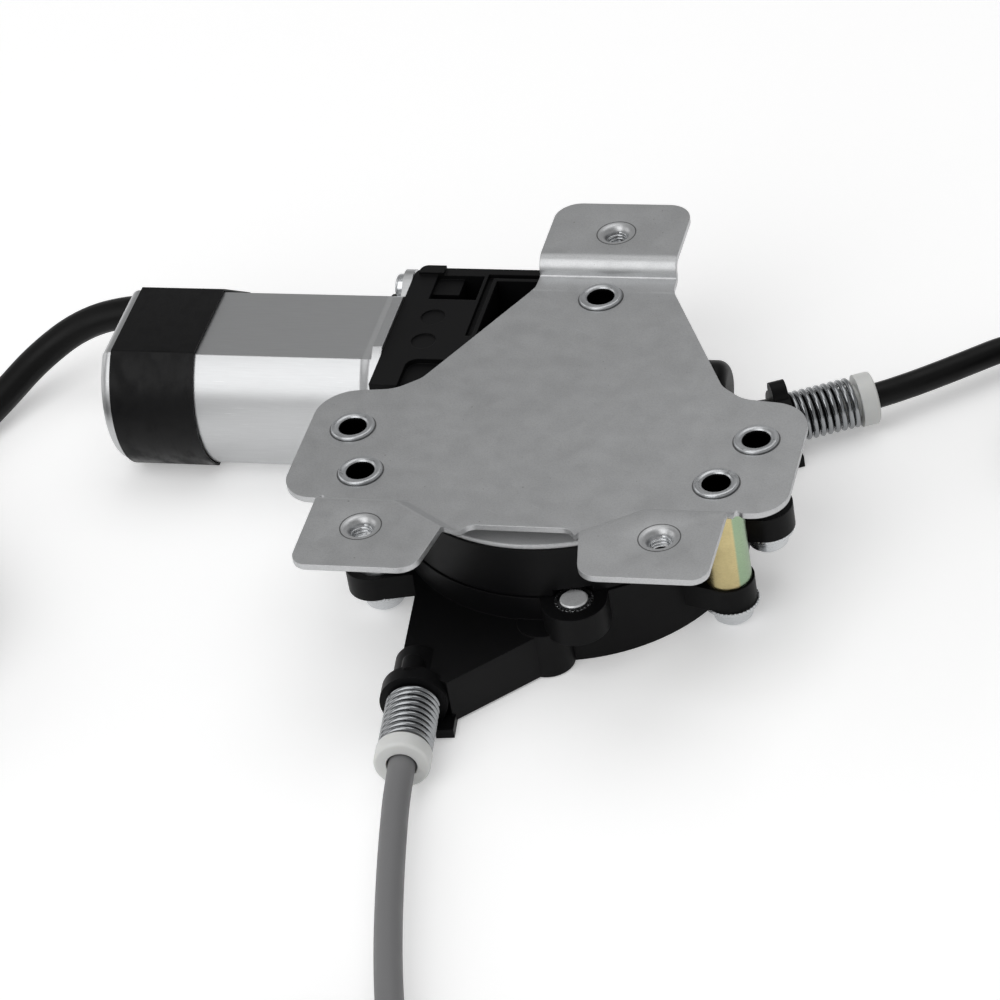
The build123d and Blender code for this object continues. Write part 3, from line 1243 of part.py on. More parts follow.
def cord_tube(points, radius, least):
    """A cord's tube: straight runs joined by tangent arcs."""
    radii = cord_radii(points, least)
    path = FilletPolyline(*points, radius=radii, close=False)
    section = Plane(path @ 0, z_dir=path % 0) * Circle(radius)
    tube = sweep(section, path=path)
    expected = math.pi * radius**2 * path.length
    print("tube", round(path.length, 1), "volume ratio", round(tube.volume / expected, 4))
    return tube


FRONT_CONDUIT_ROUTE = [
    (-19.4, -92.8, OUTLET_Z),
    (-16.4, -108.7, OUTLET_Z),
    (-12.9, -125.0, OUTLET_Z),
    (-9.0, -141.5, OUTLET_Z),
    (-4.6, -157.5, 7.2),
    (0.4, -173.0, 5.4),
    (5.0, -186.6, CONDUIT_RADIUS),
    (8.2, -200.2, CONDUIT_RADIUS),
]
SIDE_CONDUIT_ROUTE = [
    (62.49, 52.04, OUTLET_Z),
    (71.7, 58.0, OUTLET_Z),
    (82.1, 65.9, OUTLET_Z),
    (92.0, 74.1, 7.3),
    (104.8, 80.4, 5.3),
    (119.8, 83.0, CONDUIT_RADIUS),
    (134.6, 81.2, CONDUIT_RADIUS),
]
LEAD_ROUTE = [
    (-68.0, LEAD_Y, LEAD_Z + 0.1),
    (-88.0, LEAD_Y, LEAD_Z),
    (-108.0, LEAD_Y, LEAD_Z + 0.1),
    (-126.0, LEAD_Y + 0.2, LEAD_Z - 0.4),
    (-140.3, LEAD_Y - 1.3, 16.6),
    (-151.5, LEAD_Y - 9.0, 10.8),
    (-158.6, LEAD_Y - 20.3, 6.0),
    (-164.5, LEAD_Y - 33.3, LEAD_RADIUS),
    (-166.0, LEAD_Y - 48.9, LEAD_RADIUS),
    (-161.0, LEAD_Y - 66.9, LEAD_RADIUS),
    (-151.5, LEAD_Y - 83.9, LEAD_RADIUS),
    (-143.0, LEAD_Y - 100.9, LEAD_RADIUS),
]


def coil_solid(centre, mean_radius, cord_radius, turns):
    """The outer shape of a coil that lies on the resting face."""
    height = 2 * cord_radius * (turns + 1)
    outer = mean_radius + cord_radius
    return ring(outer, mean_radius - cord_radius, 0, height, centre)


def end_fitting(place):
    """A conduit's crimped end cap with its stop collar, along local +X."""
    cap = outlet_post(END_CAP_RADIUS, -2.0, END_CAP_LENGTH - 2.0)
    cap += outlet_post(END_COLLAR_RADIUS, END_CAP_LENGTH - 5.0, END_CAP_LENGTH - 2.0)
    cap = fillet(cap.edges().group_by(Axis.X)[-1], 0.6)
    cap -= outlet_post(CONDUIT_RADIUS, -3.0, 0)
    cap -= outlet_post(ROPE_RADIUS + 0.1, -1.0, END_CAP_LENGTH)
    return place * cap


def rope_end(place):
    """The length of wire rope beyond an end cap, with its crimped nipple."""
    rope = outlet_post(ROPE_RADIUS, 0.5, END_CAP_LENGTH + ROPE_END_LENGTH)
    tip = END_CAP_LENGTH + ROPE_END_LENGTH
    nipple = Pos(tip, 0, 0) * Cylinder(NIPPLE_RADIUS, NIPPLE_LENGTH)
    return place * (rope + nipple)


def lead_plug(place):
    """The lead's two-way plug housing, open at its mating face, along local +X."""
    shell = Pos(PLUG_LENGTH / 2, 0, 0) * Box(PLUG_LENGTH, PLUG_WIDTH, PLUG_HEIGHT)
    shell = fillet(shell.edges().filter_by(Axis.X), 1.2)
    shell += outlet_post(PLUG_NECK_RADIUS, -4.0, 1.0)
    shell -= outlet_post(LEAD_RADIUS, -5.0, 0)
    mouth = Pos(PLUG_LENGTH - 5.0, 0, 0) * Box(11.0, PLUG_WIDTH - 3.0, PLUG_HEIGHT - 3.0)
    shell -= mouth
    latch = Pos(PLUG_LENGTH - 9.0, 0, PLUG_HEIGHT / 2 + 0.6) * Box(9.0, 5.0, 1.4)
    return place * (shell + latch)


def plug_blades(place):
    """The two flat terminals inside the plug."""
    pair = Part()
    for hand in (1, -1):
        pair += Pos(PLUG_LENGTH - 7.5, hand * 2.7, 0) * Box(10.0, 3.0, 0.8)
    return place * pair


def rope_wraps():
    """The wound rope: the side rope's turns below and the front rope's turns above."""
    first, last = wrap_angles()
    middle = wrap_middle()
    return [swept(wrap_path(first, middle - 0.02), ROPE_RADIUS), swept(wrap_path(middle + 0.02, last), ROPE_RADIUS)]


def unit(start, end):
    """The direction between two points, and its left-hand normal, in plan."""
    dx = end[0] - start[0]
    dy = end[1] - start[1]
    reach = math.hypot(dx, dy)
    return (dx / reach, dy / reach), (-dy / reach, dx / reach)


def coil_centre(route, mean_radius, hand):
    """The centre of the coil that a route's last run meets along a tangent."""
    _, normal = unit(route[-2], route[-1])
    end = route[-1]
    return end[0] + hand * mean_radius * normal[0], end[1] + hand * mean_radius * normal[1]


def tail_points(route, mean_radius, cord_radius, hand, turn, end_height):
    """Where a cord leaves its coil again: three points that rise to the height its end piece needs."""
    x, y = coil_centre(route, mean_radius, hand)
    (dx, dy), (nx, ny) = unit(route[-2], route[-1])
    bearing = math.atan2(-hand * ny, -hand * nx) + hand * math.radians(turn)
    start = (x + mean_radius * math.cos(bearing), y + mean_radius * math.sin(bearing))
    heading = bearing + hand * math.pi / 2
    points = [(start[0], start[1], cord_radius)]
    for step, bend in ((TAIL_RUN, 0.0), (TAIL_RUN, -hand * TAIL_BEND)):
        last = points[-1]
        way = heading + math.radians(bend)
        points.append((last[0] + step * math.cos(way), last[1] + step * math.sin(way), end_height))
    return points


def tail_place(points):
    """The place at a tail's end, with local +X along the tail."""
    (dx, dy), _ = unit(points[-2], points[-1])
    return Pos(*points[-1]) * Rot(0, 0, math.degrees(math.atan2(dy, dx)))


def save(name, shape):
    """Write one sub-part with its solids side by side."""
    solids = shape.solids() if not isinstance(shape, list) else [s for piece in shape for s in piece.solids()]
    group = Compound(children=list(solids)) if len(solids) > 1 else solids[0]
    group.label = name
    export_step(group, f"parts/{name}.step")
    print(name, len(solids), "solids", [round(s.volume, 1) for s in solids][:6])


def metal_parts():
    """The plate, its standoffs and the screws."""
    left, right = front_spots()
    rear = (0, HOLE_CIRCLE_RADIUS)
    parts = {
        "mount_plate": mount_plate(),
        "left_standoff": standoff(left, EAR_TOP + SEAT_GAP, FRONT_STANDOFF_RADIUS),
        "right_standoff": standoff(right, EAR_TOP + SEAT_GAP, FRONT_STANDOFF_RADIUS),
        "rear_standoff": standoff(rear, REAR_BOSS_TOP + SEAT_GAP, SIDE_STANDOFF_RADIUS),
        "gear_cover": gear_cover(),
    }
    side_bottom = SIDE_EAR_TOP + SEAT_GAP
    parts["side_standoffs"] = [
        standoff(spot, side_bottom, SIDE_STANDOFF_RADIUS) for spot in side_spots()
    ]
    parts["drum_ear_screws"] = [
        screw(spot, EAR_BOTTOM - SEAT_GAP, EAR_THICKNESS + SCREW_BITE) for spot in front_spots()
    ]
    parts["side_ear_screws"] = [
        screw(spot, SIDE_EAR_BOTTOM - SEAT_GAP, EAR_THICKNESS + SCREW_BITE) for spot in side_spots()
    ]
    rear_length = REAR_BOSS_TOP - EAR_BOTTOM + SCREW_BITE - 4
    parts["rear_screw"] = screw(rear, EAR_BOTTOM - SEAT_GAP, rear_length)
    return parts


def cable_parts():
    """The outlets' springs and ferrules, the ropes and the three cords with their coils."""
    front, side = outlets()
    parts = {
        "front_spring": spring(*front),
        "side_spring": spring(*side),
        "front_ferrule": ferrule(*front),
        "side_ferrule": ferrule(*side),
        "rope_wraps": rope_wraps(),
        "inner_ropes": inner_ropes(),
    }
    conduit = (CONDUIT_RADIUS, CONDUIT_COIL_RADIUS, CONDUIT_COIL_TURNS)
    lead = (LEAD_RADIUS, LEAD_COIL_RADIUS, LEAD_COIL_TURNS)
    cords = (
        ("front_conduit", FRONT_CONDUIT_ROUTE, conduit, FRONT_TAIL_TURN),
        ("side_conduit", SIDE_CONDUIT_ROUTE, conduit, SIDE_TAIL_TURN),
        ("motor_lead", LEAD_ROUTE, lead, LEAD_TAIL_TURN),
    )
    ends = {}
    hand = -1
    for name, route, (radius, coil_radius, turns), tail_turn in cords:
        least = 3 * 2 * radius
        end_height = (PLUG_NECK_RADIUS if name == "motor_lead" else END_COLLAR_RADIUS) + FLOOR_GAP
        tail = tail_points(route, coil_radius, radius, hand, tail_turn, end_height)
        parts[name] = [cord_tube(cord_start(name) + route, radius, least), cord_tube(tail, radius, least)]
        centre = coil_centre(route, coil_radius, hand)
        parts[name + "_coil"] = coil_solid(centre, coil_radius, radius, turns)
        ends[name] = tail_place(tail)
        around = 2 * math.pi * coil_radius * (turns + tail_turn / 360)
        print(name, "length in the coil", round(around, 1))
    parts["front_end_cap"] = end_fitting(ends["front_conduit"])
    parts["side_end_cap"] = end_fitting(ends["side_conduit"])
    parts["front_rope_end"] = rope_end(ends["front_conduit"])
    parts["side_rope_end"] = rope_end(ends["side_conduit"])
    parts["lead_plug"] = lead_plug(ends["motor_lead"])
    parts["plug_blades"] = plug_blades(ends["motor_lead"])
    return parts


def cord_start(name):
    """The first point of a cord, inside the piece that it comes out of."""
    if name == "motor_lead":
        return [(BLOCK_LEFT - 0.1, LEAD_Y, LEAD_Z)]
    base, heading = outlets()[0] if name == "front_conduit" else outlets()[1]
    turn = math.radians(heading)
    return [(base[0] + CONDUIT_START * math.cos(turn), base[1] + CONDUIT_START * math.sin(turn), OUTLET_Z)]


def build():
    """Make every sub-part by name."""
    parts = metal_parts()
    parts.update(cable_parts())
    parts.update(
        {
            "gear_housing": gear_housing(),
            "worm_wheel": worm_wheel(),
            "wheel_damper": wheel_damper(),
            "driver_hub": driver_hub(),
            "spindle": spindle(),
            "spindle_washer": spindle_washer(),
            "drum": drum(),
            "drum_housing": drum_housing(),
            "motor_can": motor_can(),
            "can_tape": can_tape(),
            "magnets": magnets(),
            "armature_shaft": armature_shaft(),
            "armature_core": armature_core(),
            "armature_windings": armature_windings(),
            "commutator": commutator(),
            "brush_card": brush_card(),
            "brushes": brushes(),
            "thrust_balls": thrust_balls(),
            "motor_screws": motor_screws(),
            "front_insert": insert(),
            "insert_plug": insert_plug(),
            "lead_grommet": lead_grommet(),
        }
    )
    parts.update(bushes())
    return parts


if __name__ == "__main__":
    os.makedirs("parts", exist_ok=True)
    for part_name, part_shape in build().items():
        save(part_name, part_shape)
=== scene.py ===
"""Looks of a cable window regulator's drive unit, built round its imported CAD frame.

Metres, in the frame of the CAD: +Z runs up the drum's axis to the mounting plate, and the
motor lies along -X. Each sub-assembly is a class that makes its own pieces and dresses the
CAD nodes that it owns.
"""

from __future__ import annotations

import json
import logging
import math
from dataclasses import dataclass
from enum import Enum
from typing import Sequence

import bmesh
import bpy
from mathutils import Matrix, Vector

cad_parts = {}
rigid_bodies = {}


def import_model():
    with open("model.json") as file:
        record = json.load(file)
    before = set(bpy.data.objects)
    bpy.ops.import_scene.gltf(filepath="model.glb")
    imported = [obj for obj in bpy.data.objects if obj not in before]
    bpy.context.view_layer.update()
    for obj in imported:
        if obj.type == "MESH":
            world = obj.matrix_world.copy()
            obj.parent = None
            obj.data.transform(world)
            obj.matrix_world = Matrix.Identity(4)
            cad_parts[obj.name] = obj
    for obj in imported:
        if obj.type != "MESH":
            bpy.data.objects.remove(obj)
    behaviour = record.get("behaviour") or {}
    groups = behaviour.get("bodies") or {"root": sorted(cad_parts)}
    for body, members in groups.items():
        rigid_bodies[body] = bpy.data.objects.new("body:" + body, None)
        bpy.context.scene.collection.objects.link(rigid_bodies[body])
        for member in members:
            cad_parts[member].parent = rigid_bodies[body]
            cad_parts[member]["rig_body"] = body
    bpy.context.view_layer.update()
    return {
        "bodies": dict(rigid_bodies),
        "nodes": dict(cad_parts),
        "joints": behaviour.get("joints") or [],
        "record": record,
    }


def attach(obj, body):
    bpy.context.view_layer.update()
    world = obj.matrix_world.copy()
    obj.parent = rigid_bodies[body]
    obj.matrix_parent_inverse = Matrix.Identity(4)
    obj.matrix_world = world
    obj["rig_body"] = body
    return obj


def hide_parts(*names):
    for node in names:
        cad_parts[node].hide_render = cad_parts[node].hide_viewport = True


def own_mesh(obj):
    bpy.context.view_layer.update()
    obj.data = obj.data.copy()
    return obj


LOG = logging.getLogger("regulator")
MM = 0.001

Spot = tuple[float, float]
Point = tuple[float, float, float]
Colour = tuple[float, float, float, float]

# x and y of the upright axes that several pieces share, and a sleeve's bore, in millimetres
TAPPED_HOLES: dict[str, Spot] = {
    "rear": (0.0, 67.4),
    "left": (-34.1, -47.0),
    "right": (34.1, -47.0),
}
SLEEVES: dict[str, Spot] = {
    "left_drum": (-41.5, -22.07),
    "right_drum": (41.5, -22.07),
    "left_side": (-47.6, -5.9),
    "right_side": (47.6, -5.9),
    "rear": (0.0, 47.0),
}
SLEEVE_BORE = 3.3

HOUSING = "housing"


class Way(Enum):
    """The two ways that a cable leaves the drum, as in the CAD nodes' names."""

    FRONT = "front"
    SIDE = "side"


class FarEnd(Enum):
    """What a cord's far end holds."""

    FITTING = "fitting"
    PLUG = "plug"


class Stiffness(Enum):
    """How stiff a real cord is."""

    MEDIUM = "medium"
    STIFF = "stiff"


# small helpers for colours, nodes and objects


def srgb(code: str, shade: float = 1.0) -> Colour:
    """Turn an sRGB hex colour into linear RGBA.

    Args:
        code: six hex digits, such as "8c8d8e".
        shade: how much lighter than written the linear colour is, or darker if below 1.

    Returns:
        The colour in Blender's linear values, with an alpha of 1.
    """
    values = []
    for start in (0, 2, 4):
        part = int(code[start : start + 2], 16) / 255
        linear = part / 12.92 if part <= 0.04045 else ((part + 0.055) / 1.055) ** 2.4
        values.append(min(1.0, linear * shade))
    return values[0], values[1], values[2], 1.0


def grey(level: float) -> Colour:
    """A grey of one linear level, for masks and roughness."""
    return level, level, level, 1.0


def add_node(
    tree: bpy.types.NodeTree,
    kind: str,
    inputs: dict[str | int, object] | None = None,
    stops: Sequence[tuple[float, Colour]] = (),
    **settings: object,
) -> bpy.types.Node:
    """Add a node, set its properties and colour stops, and set or link its inputs.

    Args:
        tree: the node tree to add to.
        kind: the node's type name.
        inputs: socket name or number to a value, or to the output socket that feeds it.
        stops: a colour ramp's positions and colours, in rising order.
        **settings: properties of the node itself.

    Returns:
        The new node.
    """
    made = tree.nodes.new(kind)
    for name, value in settings.items():
        setattr(made, name, value)
    for key, value in (inputs or {}).items():
        socket = made.inputs[key]
        if isinstance(value, bpy.types.NodeSocket):
            tree.links.new(value, socket)
        else:
            socket.default_value = value
    if stops:
        elements = made.color_ramp.elements
        while len(elements) < len(stops):
            elements.new(0.5)
        for element, (position, colour) in zip(elements, stops):
            element.position = position
            element.color = colour
    return made


def blank_material(name: str) -> bpy.types.Material:
    """Add a material that has no nodes yet.

    Args:
        name: the material's name.

    Returns:
        The empty material.
    """
    made = bpy.data.materials.new(name)
    made.use_nodes = True
    made.node_tree.nodes.clear()
    return made


def add_object(name: str, data: bpy.types.ID) -> bpy.types.Object:
    """Put a new object into the scene, at the origin.

    Args:
        name: the object's name.
        data: its mesh, curve, lamp or camera.

    Returns:
        The new object.
    """
    made = bpy.data.objects.new(name, data)
    bpy.context.scene.collection.objects.link(made)
    return made


def mesh_object(name: str, bm: bmesh.types.BMesh) -> bpy.types.Object:
    """Turn a bmesh into an object in the scene.

    Args:
        name: the object's and its mesh's name.
        bm: the geometry, which is freed.

    Returns:
        The new object.
    """
    mesh = bpy.data.meshes.new(name)
    bm.to_mesh(mesh)
    bm.free()
    return add_object(name, mesh)


def smooth_by_angle(target: bpy.types.Object, degrees: float) -> None:
    """Shade a mesh smooth, and keep its sharper edges crisp.

    Args:
        target: the mesh object.
        degrees: the angle above which an edge stays crisp.
    """
    bm = bmesh.new()
    bm.from_mesh(target.data)
    limit = math.radians(degrees)
    for face in bm.faces:
        face.smooth = True
    for edge in bm.edges:
        edge.smooth = len(edge.link_faces) == 2 and edge.calc_face_angle(0.0) < limit
    bm.to_mesh(target.data)
    bm.free()


def assign(target: bpy.types.Object, material: bpy.types.Material) -> None:
    """Give an object one material in place of all it had."""
    target.data.materials.clear()
    target.data.materials.append(material)


# finishes


@dataclass(frozen=True)
class Coat:
    """A material in the making, with the patterns that several finishes share.

    Attributes:
        tree: the material's node tree.
        shader: its shader.
        place: the object coordinates, in metres.
        normal: the normal with softened edges.
    """

    tree: bpy.types.NodeTree
    shader: bpy.types.Node
    place: bpy.types.NodeSocket
    normal: bpy.types.NodeSocket

    OCTAVE_SHARE = 0.55
    SCRATCH_EDGE = 0.03

    def feed(self, name: str, pattern: bpy.types.NodeSocket) -> None:
        """Link a pattern to one of the shader's inputs."""
        self.tree.links.new(pattern, self.shader.inputs[name])

    def noise(
        self,
        grain_mm: float,
        stretch: Point = (1.0, 1.0, 1.0),
        detail: float = 2.0,
        turn: float = 0.0,
    ) -> bpy.types.NodeSocket:
        """A noise with grains of a real size.

        Args:
            grain_mm: size of one grain in millimetres.
            stretch: how much longer a grain is along each axis.
            detail: number of finer octaves.
            turn: how far the pattern is turned about Z, in radians.

        Returns:
            The noise's value socket.
        """
        place = self.place
        if turn:
            inputs = {"Vector": place, "Rotation": (0.0, 0.0, turn)}
            place = add_node(self.tree, "ShaderNodeMapping", inputs).outputs[0]
        scale = tuple(1.0 / (grain_mm * MM * part) for part in stretch)
        sized = add_node(self.tree, "ShaderNodeMapping", {"Vector": place, "Scale": scale})
        inputs = {
            "Vector": sized.outputs[0],
            "Scale": 1.0,
            "Detail": detail,
            "Roughness": self.OCTAVE_SHARE,
        }
        return add_node(self.tree, "ShaderNodeTexNoise", inputs).outputs["Fac"]

    def between(
        self,
        pattern: bpy.types.NodeSocket,
        levels: tuple[float, float],
        ends: tuple[Colour, Colour] = (grey(0.0), grey(1.0)),
    ) -> bpy.types.NodeSocket:
        """Turn a pattern into a run between two colours.

        Args:
            pattern: the values to map.
            levels: the values where the run begins and ends.
            ends: the colours there; black and white make a mask.

        Returns:
            The colour's socket.
        """
        stops = tuple(zip(levels, ends))
        return add_node(self.tree, "ShaderNodeValToRGB", {"Fac": pattern}, stops).outputs["Color"]

    def gloss(
        self,
        pattern: bpy.types.NodeSocket,
        low: float,
        high: float,
        levels: tuple[float, float] = (0.3, 0.7),
    ) -> None:
        """Let a pattern move the roughness between two values.

        Args:
            pattern: the values that move it.
            low: the roughness at the lower level.
            high: the roughness at the upper level.
            levels: the pattern's values where the run begins and ends.
        """
        self.feed("Roughness", self.between(pattern, levels, (grey(low), grey(high))))

    def scratches(
        self, width_mm: float, length_mm: float, turn: float, level: float
    ) -> bpy.types.NodeSocket:
        """Sparse fine scratches that run one way.

        Args:
            width_mm: width of one scratch.
            length_mm: its usual length.
            turn: its direction about Z, in radians.
            level: the noise level above which a scratch shows; higher is sparser.

        Returns:
            A mask socket, 1 in a scratch and 0 elsewhere.
        """
        streaks = self.noise(width_mm, (length_mm / width_mm, 1.0, 1.0), 1.0, turn)
        return self.between(streaks, (level, level + self.SCRATCH_EDGE))

    def rings(
        self, spots: Sequence[Spot], inner_mm: float, outer_mm: float
    ) -> bpy.types.NodeSocket:
        """A mask that is white between two radii round each of some upright axes.

        Args:
            spots: x and y of each axis, in millimetres.
            inner_mm: the radius where the mask begins.
            outer_mm: the radius where it ends.

        Returns:
            The mask's socket.
        """
        inputs = {0: self.place, 1: (1.0, 1.0, 0.0)}
        flat = add_node(self.tree, "ShaderNodeVectorMath", inputs, operation="MULTIPLY").outputs[0]
        nearest: bpy.types.NodeSocket | float = 1.0
        for x, y in spots:
            inputs = {0: flat, 1: (x * MM, y * MM, 0.0)}
            apart = add_node(self.tree, "ShaderNodeVectorMath", inputs, operation="DISTANCE")
            inputs = {0: apart.outputs["Value"], 1: nearest}
            nearest = add_node(self.tree, "ShaderNodeMath", inputs, operation="MINIMUM").outputs[0]
        middle, half = (inner_mm + outer_mm) / 2 * MM, (outer_mm - inner_mm) / 2 * MM
        inputs = {0: nearest, 1: middle, 2: half}
        return add_node(self.tree, "ShaderNodeMath", inputs, operation="COMPARE").outputs[0]

    def tint(
        self,
        base: bpy.types.NodeSocket | Colour,
        mask: bpy.types.NodeSocket,
        code: str,
        strength: float,
    ) -> bpy.types.NodeSocket:
        """Mix a colour into another where a mask is white.

        Args:
            base: the colour underneath.
            mask: where to mix.
            code: sRGB hex of the colour that goes on top.
            strength: the most of it that goes on.

        Returns:
            The mixed colour's socket.
        """
        inputs = {0: mask, 1: strength}
        level = add_node(self.tree, "ShaderNodeMath", inputs, operation="MULTIPLY")
        inputs = {"Factor": level.outputs[0], 6: base, 7: srgb(code)}
        return add_node(self.tree, "ShaderNodeMix", inputs, data_type="RGBA").outputs[2]

    def relief(
        self,
        height: bpy.types.NodeSocket,
        depth_mm: float,
        normal: bpy.types.NodeSocket | None = None,
    ) -> bpy.types.NodeSocket:
        """Raise a height pattern on the surface.

        Args:
            height: the pattern, from 0 to 1.
            depth_mm: how high a 1 stands, in millimetres.
            normal: the normal that it goes on, by default the softened edges.

        Returns:
            The normal's socket.
        """
        under = self.normal if normal is None else normal
        inputs = {"Strength": 1.0, "Distance": depth_mm * MM, "Height": height, "Normal": under}
        return add_node(self.tree, "ShaderNodeBump", inputs).outputs["Normal"]


@dataclass(frozen=True)
class Finish:
    """What every finish shares. The plain one only softens its edges.

    Attributes:
        name: the material's name.
        colour: sRGB hex of the base colour.
        roughness: the middle of its roughness.
        metallic: 1 for a metal and 0 for anything else.
        edge_mm: radius of the softened edge that the light catches.
    """

    name: str
    colour: str
    roughness: float
    metallic: float = 0.0
    edge_mm: float = 0.15

    EDGE_SAMPLES = 4

    def make(self) -> bpy.types.Material:
        """Build the material, or find it if it is there.

        Returns:
            The finished material.
        """
        found = bpy.data.materials.get(self.name)
        if found is not None:
            return found
        material = blank_material(self.name)
        tree = material.node_tree
        inputs = {
            "Base Color": srgb(self.colour),
            "Roughness": self.roughness,
            "Metallic": self.metallic,
        }
        shader = add_node(tree, "ShaderNodeBsdfPrincipled", inputs)
        add_node(tree, "ShaderNodeOutputMaterial", {"Surface": shader.outputs["BSDF"]})
        place = add_node(tree, "ShaderNodeTexCoord").outputs["Object"]
        inputs = {"Radius": self.edge_mm * MM}
        edge = add_node(tree, "ShaderNodeBevel", inputs, samples=self.EDGE_SAMPLES)
        self.dress(Coat(tree, shader, place, edge.outputs["Normal"]))
        return material

    def dress(self, coat: Coat) -> None:
        """Add the finish's own pattern."""
        coat.feed("Normal", coat.normal)


@dataclass(frozen=True)
class ZincPlatedSheet(Finish):
    """Cold-rolled sheet with clear zinc: an even satin grey, with faint clouds, pits and rubs.

    Attributes:
        blotch_mm: size of the cloudy patches that the plating bath leaves.
        pit_mm: size of the pits in the rolled face.
        punched: axes of the drawn holes, round each of which a thin dark ring is painted.
        seated: axes of the sleeves, round whose rolled heads a painted contact shadow lies.
    """

    blotch_mm: float = 16.0
    pit_mm: float = 0.22
    punched: tuple[Spot, ...] = tuple(TAPPED_HOLES.values())
    seated: tuple[Spot, ...] = tuple(SLEEVES.values())

    def dress(self, coat: Coat) -> None:
        """Clouds, grain and dark specks in the colour, rubs, dark rings round the holes with
        painted contact shadow round the sleeves, and pits.

        Args:
            coat: the material in the making.
        """
        clouds = coat.noise(self.blotch_mm, detail=4.0)
        ends = srgb(self.colour, shade=0.975), srgb(self.colour, shade=1.02)
        colour = coat.between(clouds, (0.35, 0.65), ends)
        grain = coat.between(coat.noise(grain_mm=0.3), (0.4, 0.75))
        colour = coat.tint(colour, grain, "8e8f90", strength=0.28)
        specks = coat.between(coat.noise(grain_mm=0.9, detail=1.0), (0.77, 0.82))
        colour = coat.tint(colour, specks, "6c6a66", strength=0.55)
        rubs = coat.scratches(width_mm=0.16, length_mm=7.0, turn=0.5, level=0.72)
        more = coat.scratches(width_mm=0.2, length_mm=12.0, turn=-0.9, level=0.76)
        ring = coat.rings(self.punched, inner_mm=4.55, outer_mm=4.85)
        sleeve_contact_shadow = coat.rings(self.seated, inner_mm=5.1, outer_mm=5.5)
        # light rubs, then a dark ring round each tapped hole and a painted contact shadow round
        # each sleeve's rolled head
        for first, second, code, strength in (
            (rubs, more, "e6e7e8", 0.22),
            (ring, sleeve_contact_shadow, "3a3a3a", 0.75),
        ):
            inputs = {0: first, 1: second}
            either = add_node(coat.tree, "ShaderNodeMath", inputs, operation="MAXIMUM")
            colour = coat.tint(colour, either.outputs[0], code, strength)
        coat.feed("Base Color", colour)
        uneven = coat.noise(grain_mm=5.0, detail=3.0)
        coat.gloss(uneven, self.roughness - 0.04, self.roughness + 0.05)
        coat.feed("Normal", coat.relief(coat.noise(self.pit_mm), depth_mm=0.007))


@dataclass(frozen=True)
class TurnedZinc(Finish):
    """Turned or headed steel with bright zinc: shinier than the sheet, with fine turning marks.

    Attributes:
        mark_mm: distance of the turning marks, which are drawn this coarse so that they show.
    """

    mark_mm: float = 0.15

    def dress(self, coat: Coat) -> None:
        """Turning marks in the gloss and the relief.

        Args:
            coat: the material in the making.
        """
        marks = coat.noise(self.mark_mm, stretch=(12.0, 12.0, 1.0))
        coat.gloss(marks, self.roughness * 0.75, self.roughness * 1.3)
        coat.feed("Normal", coat.relief(marks, depth_mm=0.004))


@dataclass(frozen=True)
class RolledSleeve(TurnedZinc):
    """A zinc-plated sleeve: satin outside, with painted shade in its bore.

    Attributes:
        film: sRGB hex of the painted shade in the bore.
    """

    film: str = "101010"

    def dress(self, coat: Coat) -> None:
        """The turned finish, and painted shade in every sleeve's bore.

        Args:
            coat: the material in the making.
        """
        super().dress(coat)
        # every sleeve's bore is painted dark as shade
        bore = coat.rings(tuple(SLEEVES.values()), 0.0, SLEEVE_BORE)
        coat.feed("Base Color", coat.tint(self.outside(coat), bore, self.film, strength=1.0))

    def outside(self, coat: Coat) -> bpy.types.NodeSocket | Colour:
        """The colour outside the bore, here plain zinc."""
        return srgb(self.colour)


@dataclass(frozen=True)
class YellowChromate(RolledSleeve):
    """A sleeve with yellow zinc chromate: a thin film, straw in front and green at the side.

    Attributes:
        centre_mm: the sleeve's axis in the row frame.
        green: sRGB hex of the film's other tint.
        band: where the green band runs round the sleeve, in radians from +X.
        rolled_z_mm: the height above which the rolling tool has worn the film off.
    """

    centre_mm: Spot = SLEEVES["right_drum"]
    green: str = "8fae93"
    band: tuple[float, float] = (-0.86, 0.5)
    rolled_z_mm: float = 38.4

    def outside(self, coat: Coat) -> bpy.types.NodeSocket | Colour:
        """A mottled film, a green band by the angle round the sleeve, and a bare rolled head.

        Args:
            coat: the material in the making.

        Returns:
            The colour's socket.
        """
        tree = coat.tree
        x, y = (part * MM for part in self.centre_mm)
        inputs = {0: coat.place, 1: (-x, -y, 0.0)}
        apart = add_node(tree, "ShaderNodeVectorMath", inputs, operation="ADD")
        axes = add_node(tree, "ShaderNodeSeparateXYZ", {"Vector": apart.outputs[0]}).outputs
        inputs = {0: axes["Y"], 1: axes["X"]}
        angle = add_node(tree, "ShaderNodeMath", inputs, operation="ARCTAN2")
        inputs = {"Value": angle.outputs[0], "From Min": -math.pi, "From Max": math.pi}
        spread = add_node(tree, "ShaderNodeMapRange", inputs)
        start, end = ((part + math.pi) / (2 * math.pi) for part in self.band)
        sharp, soft = 0.008, 0.03
        stops = (
            (start - sharp, grey(0.0)),
            (start + sharp, grey(1.0)),
            (end - soft, grey(1.0)),
            (end + soft, grey(0.0)),
        )
        band = add_node(tree, "ShaderNodeValToRGB", {"Fac": spread.outputs[0]}, stops)
        mottle = coat.noise(grain_mm=6.0, stretch=(1.0, 1.0, 2.0), detail=3.0)
        colour = coat.between(mottle, (0.32, 0.6), (srgb(self.colour, 0.8), srgb(self.colour)))
        colour = coat.tint(colour, band.outputs["Color"], self.green, strength=0.85)
        inputs = {0: axes["Z"], 1: self.rolled_z_mm * MM}
        head = add_node(tree, "ShaderNodeMath", inputs, operation="GREATER_THAN")
        return coat.tint(colour, head.outputs[0], "bcbec0", strength=1.0)


